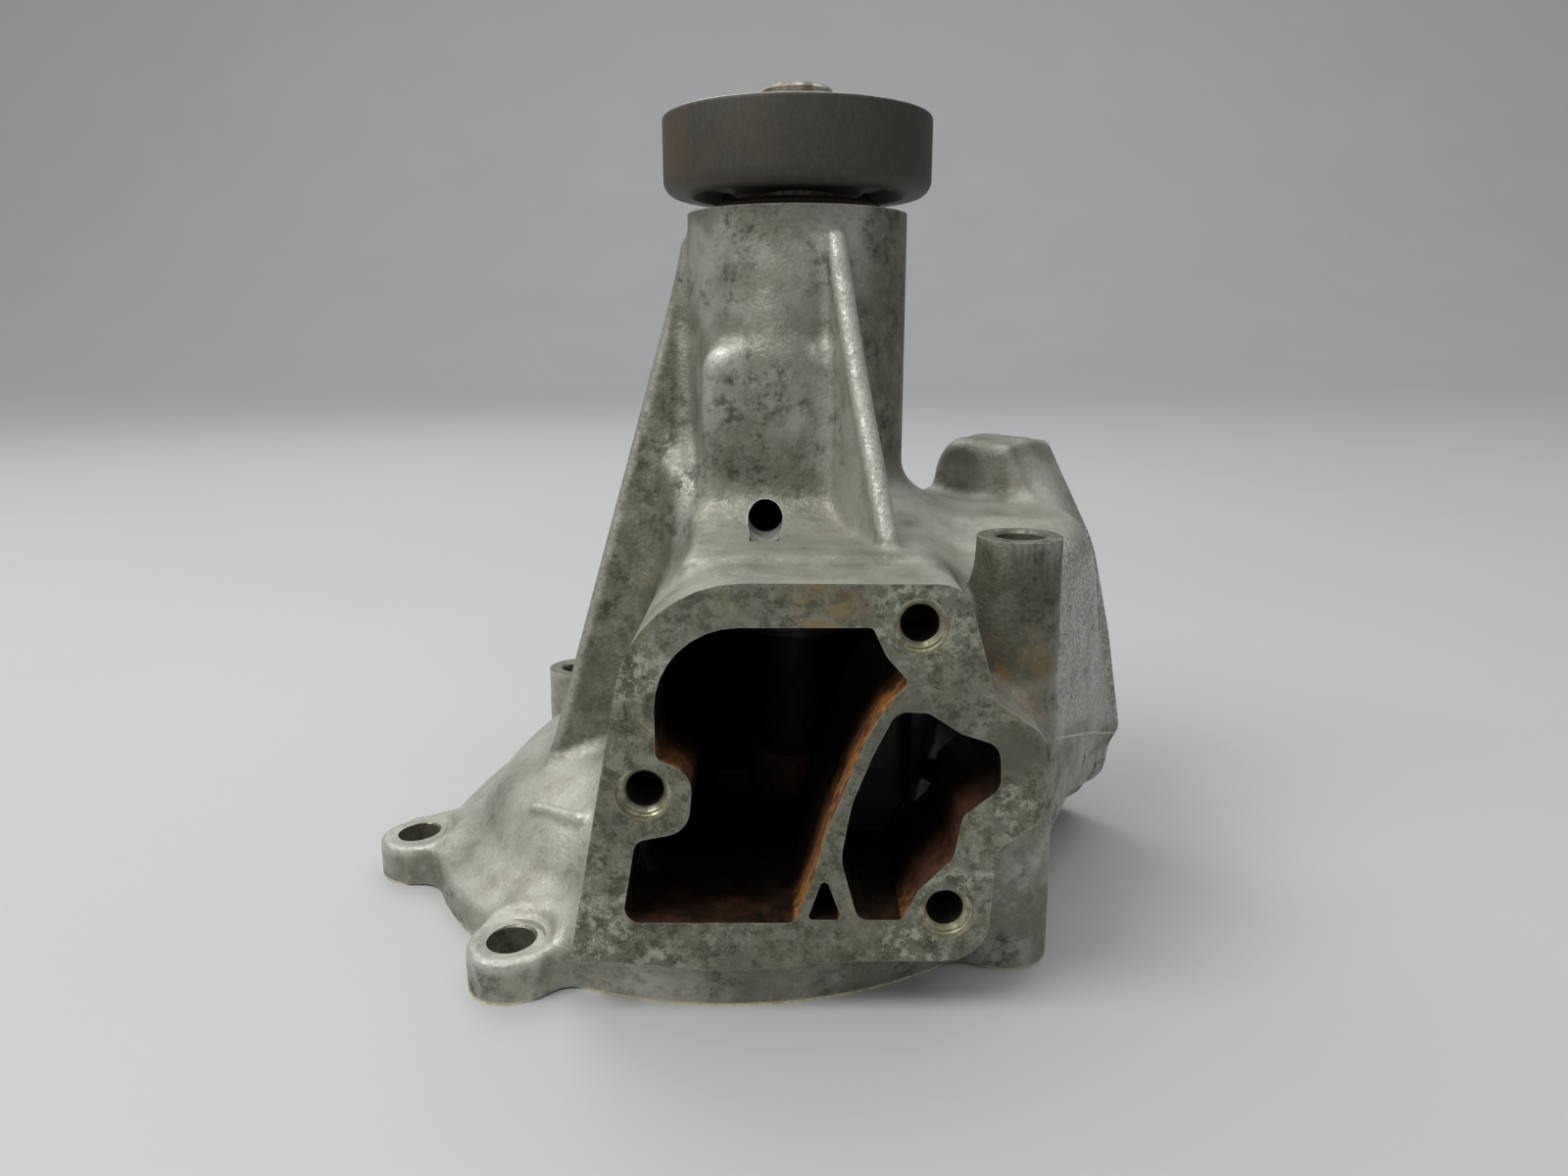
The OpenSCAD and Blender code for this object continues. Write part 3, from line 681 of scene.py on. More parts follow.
class Finish:
    """One node material: short names for the few nodes that the finishes are made of."""

    def __init__(self, name, metallic=0.0):
        self.material = bpy.data.materials.new(name)
        self.material.use_nodes = True
        self.tree = self.material.node_tree
        self.shader = self.tree.nodes["Principled BSDF"]
        self.shader.inputs["Metallic"].default_value = metallic
        self.object_space = self.tree.nodes.new("ShaderNodeTexCoord").outputs["Object"]
        self.colour = None

    def node(self, kind, inputs=(), **settings):
        node = self.tree.nodes.new(kind)
        for key, value in settings.items():
            setattr(node, key, value)
        for key, value in dict(inputs).items():
            if isinstance(value, bpy.types.NodeSocket):
                self.tree.links.new(value, node.inputs[key])
            else:
                node.inputs[key].default_value = value
        return node

    def scaled(self, size, stretch, shift):
        """The place on the part, in units of size mm."""
        scale = tuple(s / (size * MM) for s in stretch)
        return self.node("ShaderNodeMapping", {"Vector": self.object_space, "Location": (shift, shift, shift),
                                               "Scale": scale}).outputs[0]

    def noise(self, size, detail=4, roughness=0.6, stretch=(1, 1, 1), shift=0.0):
        """Cloud noise; size is that of its blobs in mm."""
        return self.node("ShaderNodeTexNoise", {"Vector": self.scaled(size, stretch, shift), "Scale": 1.0,
                                                "Detail": detail, "Roughness": roughness}).outputs[0]

    def cells(self, size, shift=0.0):
        """Distance to the nearest of scattered points; size is their spacing in mm."""
        at = self.scaled(size, (1, 1, 1), shift)
        return self.node("ShaderNodeTexVoronoi", {"Vector": at, "Scale": 1.0}).outputs["Distance"]

    def axis(self, letter):
        return self.node("ShaderNodeSeparateXYZ", {0: self.object_space}).outputs[letter]

    def facing(self, letter):
        normal = self.tree.nodes.new("ShaderNodeTexCoord").outputs["Normal"]
        return self.node("ShaderNodeSeparateXYZ", {0: normal}).outputs[letter]

    def attribute(self, name):
        return self.node("ShaderNodeAttribute", attribute_name=name).outputs["Fac"]

    def distance(self, vector, *point):
        """From a vector to a point in mm."""
        return self.node("ShaderNodeVectorMath", {0: vector, 1: tuple(v * MM for v in point)},
                         operation="DISTANCE").outputs["Value"]

    def zone(self, x, y, z, r, edge=0.5):
        """1 around a point of the housing and 0 beyond r; all in mm."""
        return self.level(self.distance(self.object_space, x, y, z), r * MM, r * edge * MM)

    def radius_from(self, x, y):
        """Distance in plan from a vertical axis through x, y in mm."""
        flat = self.node("ShaderNodeVectorMath", {0: self.object_space, 1: (1, 1, 0)}, operation="MULTIPLY")
        return self.distance(flat.outputs[0], x, y, 0)

    def edges(self, radius):
        """1 along sharp edges; radius in mm."""
        round_normal = self.node("ShaderNodeBevel", {"Radius": radius * MM}, samples=4).outputs[0]
        normal = self.tree.nodes.new("ShaderNodeNewGeometry").outputs["Normal"]
        alike = self.node("ShaderNodeVectorMath", {0: round_normal, 1: normal}, operation="DOT_PRODUCT")
        return self.level(alike.outputs["Value"], 0.985, 0.90)

    def level(self, value, low, high, to_low=0.0, to_high=1.0):
        """Maps low..high smoothly to 0..1 or another range, and holds the ends."""
        inputs = {"Value": value, "From Min": low, "From Max": high, "To Min": to_low, "To Max": to_high}
        return self.node("ShaderNodeMapRange", inputs, interpolation_type="SMOOTHSTEP").outputs[0]

    def fold(self, operation, values):
        total = values[0]
        for value in values[1:]:
            total = self.node("ShaderNodeMath", {0: total, 1: value}, operation=operation).outputs[0]
        return total

    def sum(self, *values):
        return self.fold("ADD", values)

    def times(self, *values):
        return self.fold("MULTIPLY", values)

    def larger(self, *values):
        return self.fold("MAXIMUM", values)

    def mix(self, a, b, amount):
        """Colour a turning into colour b."""
        node = self.node("ShaderNodeMix", data_type="RGBA")
        for socket, value in ((node.inputs[0], amount), (node.inputs[6], a), (node.inputs[7], b)):
            if isinstance(value, bpy.types.NodeSocket):
                self.tree.links.new(value, socket)
            else:
                socket.default_value = (*value, 1.0) if isinstance(value, tuple) else value
        return node.outputs[2]

    def paint(self, colour, *masks):
        """Lays a colour over what is there, where all the masks are high."""
        self.colour = self.mix(self.colour, colour, self.times(*masks))

    def link(self, socket, value):
        self.tree.links.new(value, self.shader.inputs[socket])

    def finish(self, roughness, *layers):
        """Links the colour, the roughness and the relief: stacked layers of (height, depth in mm)."""
        normal = None
        for height, depth in layers:
            inputs = {"Height": height, "Strength": 1.0, "Distance": depth * MM}
            if normal is not None:
                inputs["Normal"] = normal
            normal = self.node("ShaderNodeBump", inputs).outputs[0]
        self.link("Base Color", self.colour)
        self.link("Roughness", roughness)
        self.link("Normal", normal)
        return self.material


def clean_casting(f, cloud):
    """Bare metal, and where it stayed clean and pale: the shoulder and the rim."""
    tone = f.level(f.noise(30, 3, 0.55), 0.36, 0.64)
    f.colour = f.mix((0.295, 0.290, 0.235), (0.440, 0.435, 0.375), tone)
    pale_zone = f.larger(f.zone(-52, -48, 18, 34, 0.4), f.zone(-40, -72, 6, 26, 0.5),
                         f.zone(50, 8, 96, 24, 0.5), f.zone(28, -34, 84, 30, 0.5))
    f.paint((0.52, 0.515, 0.44), pale_zone, f.level(cloud, 0.30, 0.62, 0.35, 0.95))
    f.paint((0.30, 0.27, 0.195), pale_zone, f.level(f.noise(11, 5, 0.7, shift=41.0), 0.44, 0.66), 0.6)
    return pale_zone


def olive_film(f, pale_zone, up):
    """A film in broad patches, heavy on the web, right of the rib and on the tall boss."""
    x, z = f.axis("X"), f.axis("Z")
    web = f.times(f.level(x, -0.025, -0.029), f.level(z, 0.027, 0.031), f.level(up, 0.62, 0.42))
    heavy = f.larger(f.times(f.level(x, 0.011, 0.018), f.level(z, 0.088, 0.100)), f.zone(42, -60, 76, 23, 0.65),
                     web, f.zone(24, -31, 88, 6, 0.4))
    film = f.times(f.level(f.noise(20, 5, 0.62, shift=3.1), 0.40, 0.62), f.level(pale_zone, 0, 1, 0.7, 0.15))
    film = f.larger(film, f.times(heavy, f.level(f.noise(5, 5, 0.7, shift=23.0), 0.30, 0.62, 0.62, 1.0)))
    f.paint((0.090, 0.089, 0.046), film, 0.86)
    f.paint((0.045, 0.043, 0.028), f.zone(42, -60, 76, 20, 0.6), 0.25)
    return film, heavy


def bloom_and_oxide(f, specks, pale_zone, heavy, up):
    """Dark bloom in soft clouds of small specks, and pale oxide between them."""
    patches = f.level(f.noise(15, 3, 0.6, shift=7.3), 0.42, 0.62)
    bloom = f.times(specks, f.level(patches, 0, 1, 0.22, 1.0), f.level(up, 0.45, 0.85, 1.0, 0.3),
                    f.level(pale_zone, 0, 1, 1.0, 0.45))
    f.paint((0.050, 0.050, 0.036), bloom, 0.82)
    pale = f.times(f.level(f.noise(2.4, 7, 0.8, shift=11.0), 0.52, 0.66), f.level(patches, 0, 1, 0.7, 0.3))
    f.paint((0.52, 0.52, 0.46), pale, f.level(heavy, 0, 1, 0.6, 0.22))
    return bloom


def wear_and_painted_highlights(f, cloud, up):
    """Darker brown in the creases, a painted highlight on upward-facing tops, pale worn edges that are partly a
    painted highlight, painted highlights on the two shoulders of the nose's pad, and a rust stain on the tall
    boss.
    """
    creases = f.level(f.attribute("broad"), 0.03, 0.20)
    f.paint((0.075, 0.068, 0.046), creases, f.level(f.noise(9, 3, 0.5, shift=5.0), 0.25, 0.65, 0.5, 1.0), 0.62)
    # painted highlight: upward-facing surfaces lighter, as if lit from above
    f.paint((0.66, 0.655, 0.58), f.level(up, 0.35, 0.85), f.level(cloud, 0.30, 0.62, 0.3, 1.0), 0.26)
    # pale convex edges: wear, and in part a painted highlight
    rubbed = f.level(f.noise(0.9, 3, 0.7, shift=2.0), 0.25, 0.62, 0.35, 1.0)
    worn = f.times(f.level(f.attribute("narrow"), -0.05, -0.17), rubbed)
    f.paint((0.60, 0.595, 0.53), worn, 0.75)
    # painted highlights on the two shoulders at the top of the nose's pad
    shoulders = f.larger(f.zone(-15.5, -26, 121, 6.0, 0.2), f.zone(5, -26, 121.5, 4.5, 0.2))
    f.paint((0.66, 0.655, 0.59), shoulders, f.level(f.noise(2.5, 5, 0.7, shift=35.0), 0.3, 0.6, 0.3, 0.9))
    stain = f.level(f.noise(6, 6, 0.75, shift=9.0), 0.44, 0.62)
    f.paint((0.27, 0.17, 0.055), f.zone(43, -66, 62, 13, 0.3), stain, 0.75)
    return worn


def casting_marks_and_painted_glints(f):
    """The mark below the weep hole, the mould's seam, painted highlights along sharp rims, and painted glints
    on the grainy right wall.
    """
    x, z = f.axis("X"), f.axis("Z")
    mark = f.level(f.noise(1.2, 4, 0.7, shift=6.0), 0.36, 0.55)
    f.paint((0.68, 0.67, 0.62), f.zone(-7.5, -31, 83.5, 5.4, 0.6), mark, 0.7)
    slope = f.sum(z, f.times(f.sum(x, -0.0827), 0.54))
    seam = f.times(f.level(slope, 0.0238, 0.0242), f.level(slope, 0.0250, 0.0246), f.level(x, 0.052, 0.060))
    f.paint((0.58, 0.57, 0.52), seam, 0.6)
    # painted highlight: a pale line along sharp rims, broken by noise
    f.paint((0.74, 0.73, 0.66), f.edges(0.35), f.level(f.noise(3, 5, 0.7, shift=27.0), 0.30, 0.5), 0.8)
    # the right wall's grainy zone: real grain in the relief, and painted glints, pale specks in the colour
    peel_and_glints = f.times(f.level(x, 0.047, 0.056), f.level(slope, 0.0244, 0.030), f.level(z, 0.083, 0.074))
    f.paint((0.66, 0.66, 0.63), peel_and_glints, f.level(f.noise(0.9, 3, 0.6, shift=33.0), 0.44, 0.62, 0.2, 0.9), 0.8)
    return seam, peel_and_glints


def cast_aluminium():
    f = Finish("cast_aluminium", 0.45)
    cloud, up = f.noise(7, 5, 0.65, shift=14.0), f.facing("Z")
    specks = f.level(f.noise(3.6, 7, 0.8, shift=1.7), 0.46, 0.62)
    pale_zone = clean_casting(f, cloud)
    film, heavy = olive_film(f, pale_zone, up)
    bloom = bloom_and_oxide(f, specks, pale_zone, heavy, up)
    worn = wear_and_painted_highlights(f, cloud, up)
    seam, peel_and_glints = casting_marks_and_painted_glints(f)
    rough = f.level(f.sum(bloom, f.times(film, 0.6)), 0.0, 1.2, 0.40, 0.68)
    grain = f.times(f.noise(1.3, 2, 0.5, shift=31.0), peel_and_glints)
    rough = f.sum(rough, f.times(worn, -0.12), f.times(peel_and_glints, -0.14))
    return f.finish(rough, (f.noise(9, 3, 0.5, shift=4.0), 0.4), (f.noise(0.9, 4, 0.65), 0.22), (specks, -0.04),
                    (grain, 1.5), (seam, 0.2))


def machined_face():
    f = Finish("machined_face", 0.45)
    tone = f.level(f.noise(24, 4, 0.6, shift=2.2), 0.36, 0.64)
    f.colour = f.mix((0.138, 0.139, 0.098), (0.200, 0.200, 0.156), tone)
    mottle = f.level(f.noise(3.6, 7, 0.80, shift=8.0), 0.46, 0.58)
    f.paint((0.070, 0.072, 0.042), mottle, 0.80)
    f.paint((0.27, 0.25, 0.13), f.level(f.noise(8.0, 5, 0.7, shift=12.0), 0.50, 0.66), 0.45)
    # whitish oxide: some everywhere, most near the lower corners and round the right edge
    lively = f.larger(f.zone(30, -80, 16, 22, 0.3), f.zone(-34, -80, 16, 24, 0.2), f.zone(43, -80, 42, 11, 0.5),
                      f.zone(22, -80, 80, 16, 0.3), f.zone(-30, -80, 60, 18, 0.3))
    white = f.times(f.level(f.noise(2.6, 8, 0.82, shift=15.0), 0.48, 0.58),
                    f.level(f.noise(13, 3, 0.6, shift=18.0), 0.40, 0.60, 0.35, 1.0))
    f.paint((0.46, 0.462, 0.37), white, f.level(lively, 0, 1, 0.42, 1.0))
    # the plain grey land between the ports
    land = f.larger(f.zone(20, -80, 52, 12, 0.4), f.zone(14, -80, 40, 8, 0.4), f.zone(38, -80, 52, 7, 0.4))
    f.paint((0.112, 0.113, 0.082), land, 0.8)
    tan = f.level(f.noise(3, 5, 0.7, stretch=(0.3, 1, 1), shift=3.0), 0.42, 0.58)
    f.paint((0.30, 0.20, 0.085), f.zone(4, -80, 78, 9, 0.3), tan, 0.7)
    pits = f.level(f.cells(4.4, 5.0), 0.13, 0.05)
    f.paint((0.05, 0.045, 0.03), pits, 0.6)
    # turned rings on the bolt faces of the two front lugs
    rings, rings_here = ring_marks(f)
    f.paint(f.mix((0.27, 0.27, 0.24), (0.46, 0.46, 0.42), rings), rings_here, 0.4)
    # painted highlight: a pale line along the face's sharp edges, broken by noise
    f.paint((0.60, 0.59, 0.48), f.edges(0.4), f.level(f.noise(3, 5, 0.7, shift=21.0), 0.36, 0.60), 0.45)
    lines = f.noise(0.5, 2, 0.5, stretch=(0.06, 1, 1))
    return f.finish(f.level(f.sum(mottle, white), 0.0, 1.2, 0.38, 0.64), (lines, 0.012),
                    (f.noise(2.2, 5, 0.7, shift=1.0), 0.07), (pits, -0.10), (f.times(rings, rings_here), 0.03))


def ring_marks(f):
    """Fine circles around the bolt holes of the front lugs, and where they are."""
    waves, here = [], []
    for name in BOLT_HOLES[:2]:
        r = f.radius_from(*hole_xy(name))
        wave = f.node("ShaderNodeMath", {0: f.times(r, 2 * math.pi / 0.0013)}, operation="SINE").outputs[0]
        close = f.level(r, 0.0069, 0.0066)
        waves.append(f.times(f.level(wave, -0.6, 0.8), close))
        here.append(close)
    low = f.level(f.axis("Z"), 0.013, 0.011)
    return f.larger(*waves), f.times(f.larger(*here), low)


def bored_metal():
    """Painted shade inside the weep hole, bright in the groove below its mouth."""
    f = Finish("bored_metal", 0.6)
    y = f.axis("Y")
    film = f.level(f.noise(3, 5, 0.7), 0.40, 0.62)
    f.colour = f.mix((0.26, 0.25, 0.20), (0.095, 0.090, 0.060), f.times(film, 0.85))
    # painted shade: near black inside the weep hole, past its mouth
    f.paint((0.012, 0.011, 0.008), f.zone(-7, -16, 86, 14, 0.8), f.level(y, -0.0262, -0.0245))
    f.paint((0.42, 0.41, 0.37), f.zone(-7, -29, 83, 14, 0.8), f.level(y, -0.0255, -0.0268))
    return f.finish(f.level(film, 0, 1, 0.38, 0.7), (f.noise(0.35, 2, 0.5, stretch=(0.2, 0.2, 1)), 0.02))


def orange_deposit(f, x, y, z):
    """Where it lies: on the partition's left side and on the left bolt boss, near the mouth."""
    middle = f.times(f.level(f.facing("X"), -0.35, -0.8), f.level(x, -0.006, 0.000), f.level(x, 0.022, 0.018))
    left_boss = f.times(f.level(x, -0.016, -0.019), f.level(z, 0.055, 0.052), f.level(z, 0.044, 0.047))
    gaps = f.level(f.noise(5, 5, 0.7, stretch=(1, 1, 0.5), shift=9.0), 0.26, 0.5)
    return f.times(f.larger(middle, f.times(left_boss, 0.5)), f.level(y, -0.064, -0.0785), gaps)


def port_interior():
    """Near black inside as painted shade, with an orange deposit and red-brown scale near the mouth."""
    f = Finish("port_interior")
    x, y, z = (f.axis(a) for a in "XYZ")
    scale = f.level(f.noise(6, 6, 0.72, stretch=(1, 0.5, 0.6)), 0.36, 0.60)
    # painted shade: a near-black base for the dark deep in the ports, varied a little by the scale noise
    f.colour = f.mix((0.005, 0.0045, 0.003), (0.014, 0.009, 0.006), scale)
    low = f.times(f.level(z, 0.034, 0.019), f.level(f.noise(8, 5, 0.7, shift=6.0), 0.34, 0.62), 0.30)
    right = f.times(f.level(x, 0.014, 0.026), f.level(z, 0.048, 0.036), 0.6)
    red = f.times(f.larger(low, right), f.level(y, -0.060, -0.077), f.level(scale, 0, 1, 0.5, 1.0))
    f.paint((0.165, 0.055, 0.020), red, 0.95)
    deposit = orange_deposit(f, x, y, z)
    streak = f.level(f.noise(2.2, 6, 0.75, stretch=(1, 1, 0.35), shift=4.0), 0.42, 0.58)
    f.paint(f.mix((0.46, 0.19, 0.042), (0.13, 0.045, 0.016), streak), deposit)
    # painted highlight: a thin reddish line along the sharp edges of the mouths
    f.paint((0.30, 0.17, 0.09), f.edges(0.35), f.level(f.noise(3, 5, 0.7, shift=7.0), 0.35, 0.55), 0.35)
    return f.finish(f.level(f.sum(deposit, red), 0.0, 1.0, 0.42, 0.85), (f.noise(7, 3, 0.5), 0.4),
                    (f.noise(1.4, 5, 0.7, shift=2.0), 0.22))


def thread_metal():
    """Bright in the counterbore, and near black deeper in the thread as painted shade."""
    f = Finish("thread_metal", 0.6)
    film = f.level(f.noise(2.5, 4, 0.7), 0.42, 0.62)
    f.colour = f.mix((0.52, 0.50, 0.36), (0.30, 0.28, 0.18), film)
    across = f.node("ShaderNodeVectorMath", {0: f.object_space, 1: tuple(-a for a in SIDE_AXIS)},
                    operation="DOT_PRODUCT").outputs["Value"]
    front, side = f.sum(f.axis("Y"), FRONT_Y * MM), f.sum(across, SIDE_D * MM)
    # painted shade: near black from 2 to 3.4 mm below the face inwards
    deep = f.level(f.fold("MINIMUM", (front, side)), 0.0020, 0.0034)
    f.paint((0.022, 0.021, 0.014), deep)
    return f.finish(f.sum(f.level(film, 0, 1, 0.34, 0.5), f.times(deep, 0.2)), (f.noise(0.4, 3, 0.6), 0.02))


HOUSING_MATERIALS = (cast_aluminium, machined_face, bored_metal, port_interior, thread_metal)
FACE_BUDGET = 150000


def hub_iron():
    f = Finish("hub_iron", 0.3)
    x = f.axis("X")
    grain = f.noise(0.9, 5, 0.7, stretch=(1, 1, 0.5))
    f.colour = f.mix((0.052, 0.049, 0.038), (0.074, 0.070, 0.056), f.level(grain, 0.35, 0.7))
    # painted shade: the hub darker towards its right side, away from the light
    f.paint((0.030, 0.029, 0.021), f.level(x, 0.008, 0.030, 0.0, 0.75))
    rust = f.level(f.noise(13, 4, 0.6, shift=3.0), 0.40, 0.66)
    f.paint((0.105, 0.062, 0.030), rust, f.level(x, 0.005, -0.028, 0.1, 1.0), 0.6)
    worn = f.level(f.sum(f.attribute("worn"), f.times(f.noise(2, 5, 0.7, shift=6.0), 0.5)), 0.95, 1.15)
    f.paint((0.46, 0.44, 0.38), worn)
    return f.finish(f.level(worn, 0, 1, 0.60, 0.40), (grain, 0.04), (f.noise(0.4, 3, 0.6, shift=2.0), 0.03))


def shaft_steel():
    """Ground steel with a brown film, and near black low down where coolant reaches it: scale there, and
    painted shade inside the housing.
    """
    f = Finish("shaft_steel")
    film = f.level(f.noise(4, 5, 0.65, stretch=(1, 1, 0.3)), 0.36, 0.62)
    f.colour = f.mix((0.50, 0.47, 0.40), (0.20, 0.165, 0.115), film)
    # near black below 60 to 68 mm: scale, and painted shade inside the housing; it also loses its metal sheen
    wet_scale_and_shade = f.level(f.axis("Z"), 0.068, 0.060)
    f.paint((0.016, 0.011, 0.008), wet_scale_and_shade)
    f.link("Metallic", f.level(wet_scale_and_shade, 0, 1, 0.85, 0.1))
    return f.finish(f.sum(f.level(film, 0, 1, 0.30, 0.5), f.times(wet_scale_and_shade, 0.3)),
                    (f.noise(0.4, 3, 0.6, stretch=(1, 1, 0.1)), 0.01))


def impeller_iron():
    f = Finish("impeller_iron", 0.25)
    scale = f.noise(4, 6, 0.72)
    f.colour = f.mix((0.060, 0.032, 0.020), (0.150, 0.068, 0.032), f.level(scale, 0.35, 0.6))
    f.paint((0.045, 0.035, 0.030), f.level(f.noise(9, 4, 0.6, shift=5.0), 0.5, 0.68))
    rough = f.level(scale, 0.3, 0.7, 0.62, 0.86)
    return f.finish(rough, (scale, 0.25), (f.noise(0.8, 4, 0.7, shift=3.0), 0.12))


def gasket():
    f = Finish("gasket")
    fibre = f.noise(1.2, 5, 0.75, stretch=(1, 1, 3))
    f.colour = f.mix((0.74, 0.68, 0.44), (0.52, 0.45, 0.24), f.level(fibre, 0.38, 0.66))
    f.paint((0.20, 0.165, 0.10), f.level(f.noise(11, 5, 0.7, shift=2.0), 0.54, 0.68), 0.6)
    return f.finish(f.level(fibre, 0.3, 0.7, 0.75, 0.95), (fibre, 0.06))


def filmed(name, colours, metallic, rough, cloud, span, grain, depth):
    """A plain material under a thin uneven film, whose second colour and roughness show where cloud is high."""
    f = Finish(name, metallic)
    film = f.level(f.noise(*cloud), *span)
    f.colour = f.mix(*colours, film)
    return f.finish(f.level(film, 0, 1, *rough), (f.noise(*grain), depth))


def plain_metal(name, light, dark, metallic, rough, size, depth):
    return filmed(name, (light, dark), metallic, (rough, rough + 0.22), (size, 5, 0.65), (0.38, 0.66),
                  (0.4, 3, 0.6), depth)


def small_finishes():
    """The finish of each slot whose pieces keep their CAD shape."""
    rubber = ((0.018, 0.018, 0.018), (0.060, 0.055, 0.048)), 0, (0.48, 0.80)
    graphite = ((0.030, 0.030, 0.032), (0.055, 0.055, 0.058)), 0, (0.28, 0.45)
    ceramic = ((0.80, 0.78, 0.72), (0.66, 0.60, 0.48)), 0, (0.22, 0.40)
    plastic = ((0.50, 0.41, 0.24), (0.36, 0.27, 0.14)), 0, (0.38, 0.55)
    polished, moulded, matt = (0.4, 2, 0.5), (0.5, 3, 0.6), (0.6, 3, 0.6)
    return {
        "gasket": gasket(),
        "impeller_iron": impeller_iron(),
        "ball_steel": plain_metal("ball_steel", (0.72, 0.72, 0.71), (0.55, 0.55, 0.54), 1.0, 0.12, 3, 0.003),
        "spring_steel": plain_metal("spring_steel", (0.58, 0.58, 0.56), (0.36, 0.35, 0.33), 1.0, 0.3, 2, 0.01),
        "seal_brass": plain_metal("seal_brass", (0.62, 0.44, 0.17), (0.33, 0.22, 0.09), 0.95, 0.32, 3, 0.02),
        "seal_rubber": filmed("seal_rubber", *rubber, (3, 5, 0.7), (0.45, 0.70), matt, 0.02),
        "carbon": filmed("carbon", *graphite, (1.5, 4, 0.6), (0.40, 0.65), polished, 0.004),
        "seal_ceramic": filmed("seal_ceramic", *ceramic, (2.5, 4, 0.6), (0.42, 0.70), polished, 0.004),
        "cage_plastic": filmed("cage_plastic", *plastic, (3, 4, 0.6), (0.40, 0.68), moulded, 0.012),
    }


# ---- the small pieces ----

def plain_nodes():
    """The CAD nodes that keep their shape get their finish."""
    finishes = small_finishes()
    own_mesh = {"pump_housing", "hub", "shaft", "bearing_outer_ring"}
    for part in RECORD["subparts"]:
        if part["node"] not in own_mesh:
            materials = frame["nodes"][part["node"]].data.materials
            materials.clear()
            materials.append(finishes[part["material_slot"]])


def ride(ob, node, body, material):
    ob.data.materials.clear()
    ob.data.materials.append(material)
    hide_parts(node)
    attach(ob, body)


def round_corner(c, r, start, stop, n=5):
    t = np.radians(np.linspace(start, stop, n + 1))
    return [(c[0] + r * math.cos(a), c[1] + r * math.sin(a)) for a in t]


def hub():
    (_, _, low), (r, _, high) = box_mm("hub")
    top = high - 2.2
    bore = MOUNTS["hub_pilot"]["dims"]["r_mm"]
    profile = [(bore, low + 1.4), (14.6, low + 1.4)]
    profile += [(16.8, low + 3.4), (22.0, low + 3.4), (23.2, low + 1.0), (23.8, low + 0.6)]
    profile += round_corner((r - 3.4, low + 4.0), 3.4, -90, 0, 8)
    profile += round_corner((r - 0.9, top - 0.9), 0.9, 0, 90, 4)
    profile += [(12.6, top), (11.9, top + 0.15), (10.9, top + 1.9), (10.4, top + 2.2), (bore + 0.5, top + 2.2),
                (bore, top + 1.7)]
    ob = lathe("drive_hub", profile, n=160)
    bolts = MOUNTS["hub_bolts"]["dims"]
    core = bolts["hole_r_mm"]
    wall = [(0, low - 3), (core + 0.4, low - 3)]
    wall += [(core + (0.42 if k % 2 else 0), low + 3.6 + 0.5 * k) for k in range(int((top - low - 3) / 0.5))]
    wall += [(core + 0.6, top + 0.05), (core + 0.6, top + 3), (0, top + 3)]
    angles = [math.radians(45) + 2 * math.pi * i / bolts["count"] for i in range(bolts["count"])]
    places = [(bolts["pcd_mm"] / 2 * math.cos(a), bolts["pcd_mm"] / 2 * math.sin(a), 0) for a in angles]
    cut(ob, [lathe("bolt", wall, at, n=32) for at in places])
    set_smooth(ob)
    z = points_of(ob)[:, 2]
    add_attribute(ob, "worn", np.clip((z - top + 0.55) / 0.4, 0, 1))
    ride(ob, "hub", "rotor", hub_iron())


def set_smooth(ob):
    ob.data.polygons.foreach_set("use_smooth", np.ones(len(ob.data.polygons), bool))
    ob.data.set_sharp_from_angle(angle=math.radians(30))


def ball_groove(start, stop):
    """The arc of the groove that the ball row runs in, between two angles in degrees."""
    low, high = box_mm("bearing_balls")
    return round_corner((BALL_PITCH_R, (low[2] + high[2]) / 2), GROOVE_R, start, stop, 12)


def shaft():
    low, high = box_mm("shaft")
    r, race = MOUNTS["hub_pilot"]["dims"]["r_mm"], high[0]
    race_low, race_high = (v[2] for v in box_mm("bearing_outer_ring"))
    seat = box_mm("hub")[1][2]
    z0, z1 = low[2], high[2]
    profile = [(0, z0), (r - 0.8, z0), (r, z0 + 0.8), (r, race_low + 0.3), (race - 0.3, race_low + 0.3),
               (race, race_low + 0.6)]
    half = math.degrees(math.asin((BALL_PITCH_R - race) / GROOVE_R))
    profile += [p for p in ball_groove(270 - half, 90 + half) if p[0] < race]
    profile += [(race, race_high - 0.5), (race - 0.3, race_high - 0.2), (r, race_high - 0.2), (r, seat - 0.8),
                (r - 0.25, seat - 0.8), (r - 0.25, seat), (r, seat)]
    profile += [(r, z1 - 1), (r - 0.35, z1 - 0.45), (r - 1.0, z1 - 0.1), (r - 2, z1)]
    profile += [(2.4, z1), (2.0, z1 - 0.3), (0, z1 - 1.6)]
    ob = lathe("pump_shaft", profile, n=96)
    set_smooth(ob)
    ride(ob, "shaft", "rotor", shaft_steel())


def bearing_ring():
    (_, _, low), (r, _, high) = box_mm("bearing_outer_ring")
    bore = box_mm("front_bearing_seal")[1][0]
    groove = [p for p in ball_groove(60, -60) if p[0] > bore + 0.01]
    profile = [(bore + 0.3, low), (r - 0.8, low), (r, low + 0.8), (r, high - 0.8), (r - 0.8, high),
               (bore + 0.3, high), (bore, high - 0.3)] + groove + [(bore, low + 0.3)]
    ob = lathe("bearing_ring", profile, n=128)
    set_smooth(ob)
    steel = plain_metal("bearing_steel", (0.035, 0.026, 0.020), (0.095, 0.045, 0.024), 0.4, 0.55, 3, 0.05)
    ride(ob, "bearing_outer_ring", "housing", steel)


# ---- stage ----

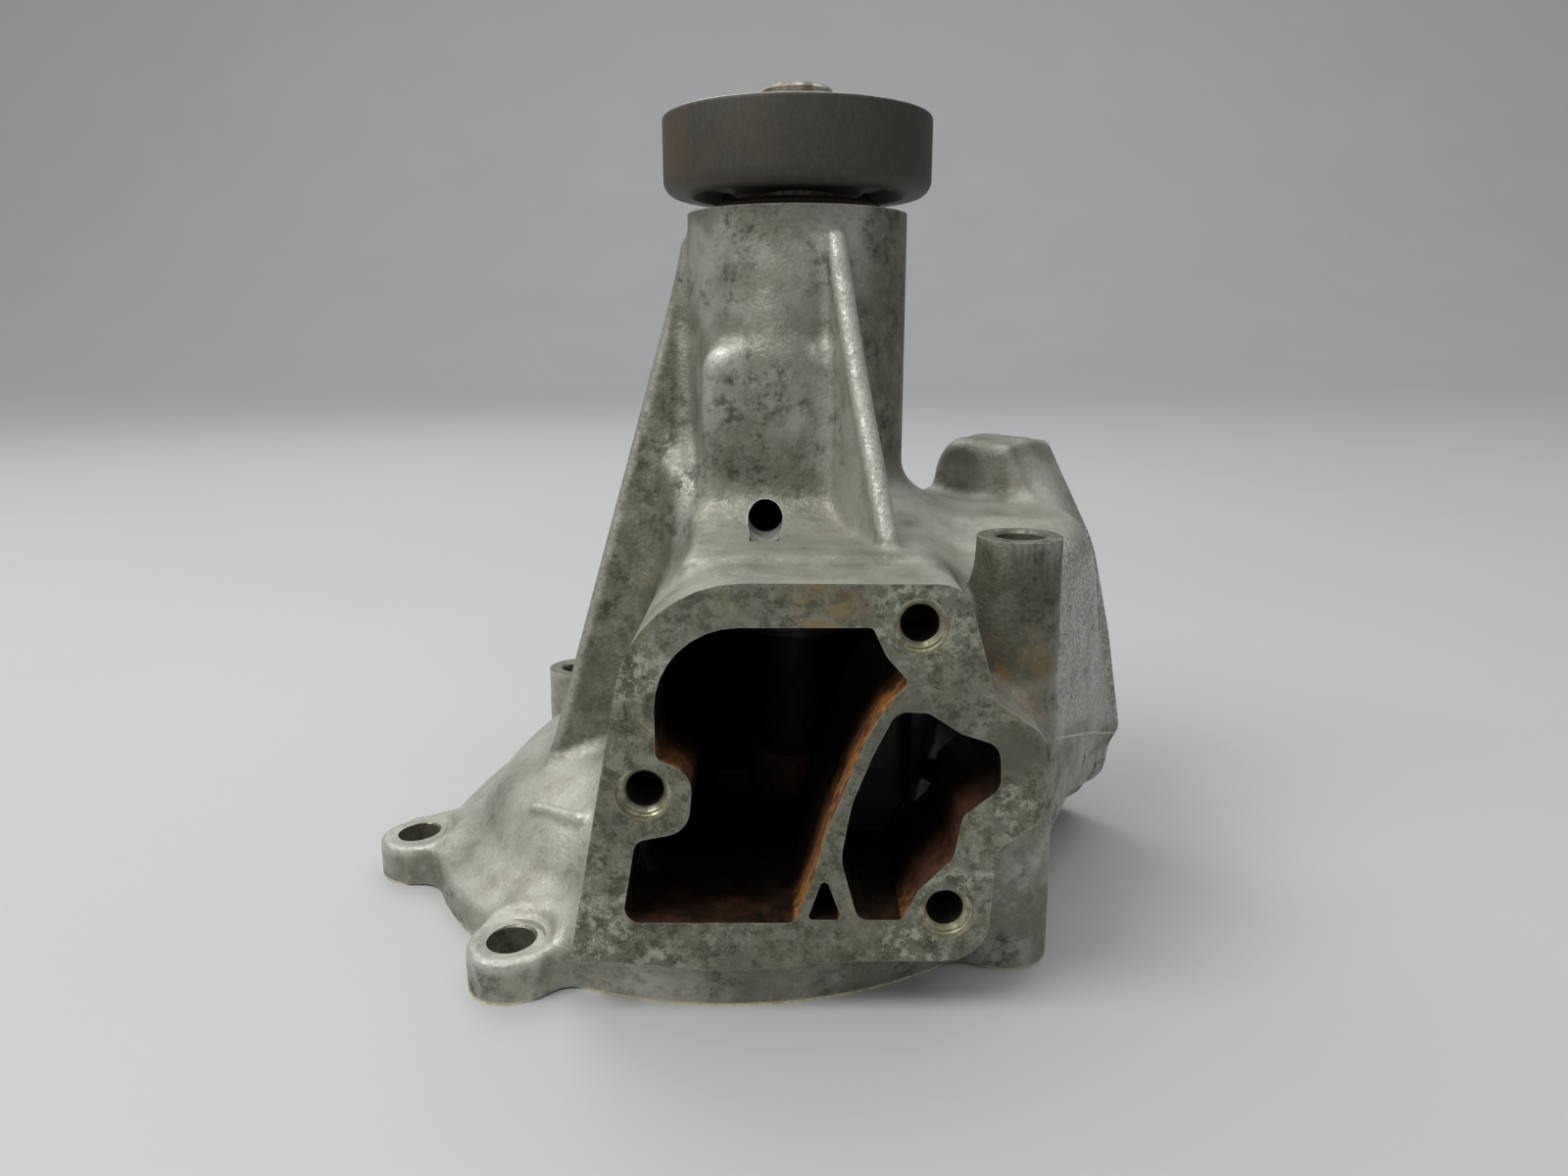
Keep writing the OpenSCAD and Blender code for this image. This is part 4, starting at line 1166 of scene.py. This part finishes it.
def floor():
    """A pale floor that sweeps up into a backdrop far behind."""
    t = np.radians(np.linspace(0, 90, 17))
    back = [(2.2 + 1.6 * math.sin(a), 1.6 - 1.6 * math.cos(a)) for a in t]
    section = [(-6.0, 0.0), (0.0, 0.0)] + back + [(3.8, 6.0)]
    vertices = [mm((x, y, z)) for y, z in section for x in (-8.0, 8.0)]
    faces = [(2 * i, 2 * i + 1, 2 * i + 3, 2 * i + 2) for i in range(len(section) - 1)]
    ob = new_object("floor", vertices, faces)
    set_smooth(ob)
    f = Finish("pale_floor")
    f.shader.inputs["Roughness"].default_value = 0.6
    f.link("Base Color", f.mix((0.50, 0.51, 0.51), (0.54, 0.55, 0.55), f.noise(220, 3, 0.5)))
    ob.data.materials.append(f.material)


def area_light(name, location, target, size, power, colour=(1, 1, 1)):
    data = bpy.data.lights.new(name, "AREA")
    data.shape, data.size, data.size_y, data.energy, data.color = "RECTANGLE", size[0], size[1], power, colour
    ob = to_scene(name, data)
    ob.location = location
    direction = Vector(target) - Vector(location)
    ob.rotation_euler = direction.to_track_quat("-Z", "Y").to_euler()


def studio():
    world = bpy.data.worlds.new("studio")
    world.use_nodes = True
    background = world.node_tree.nodes["Background"]
    background.inputs["Color"].default_value = (0.80, 0.82, 0.85, 1)
    background.inputs["Strength"].default_value = 0.36
    scene = bpy.context.scene
    scene.world = world
    area_light("panel", (0, 0.5, 4.0), (0, 0.5, 0), (6.0, 5.0), 105)
    area_light("key", (-0.70, -0.45, 1.10), (0, 0, 0.08), (0.7, 0.5), 8.5, (1.0, 0.99, 0.97))
    area_light("back", (-0.5, 0.9, 1.0), (0, 0, 0.1), (0.9, 0.5), 3)
    scene.view_settings.view_transform = "Standard"


def camera():
    data = bpy.data.cameras.new("camera")
    data.lens, data.sensor_width = 25.04, 36
    data.clip_start = 0.01
    ob = to_scene("camera", data)
    ob.location = (-0.003, -0.262, 0.124)
    ob.rotation_euler = (math.radians(77), 0, 0)
    bpy.context.scene.camera = ob


camera()
studio()
floor()
housing()
hub()
shaft()
bearing_ring()
plain_nodes()
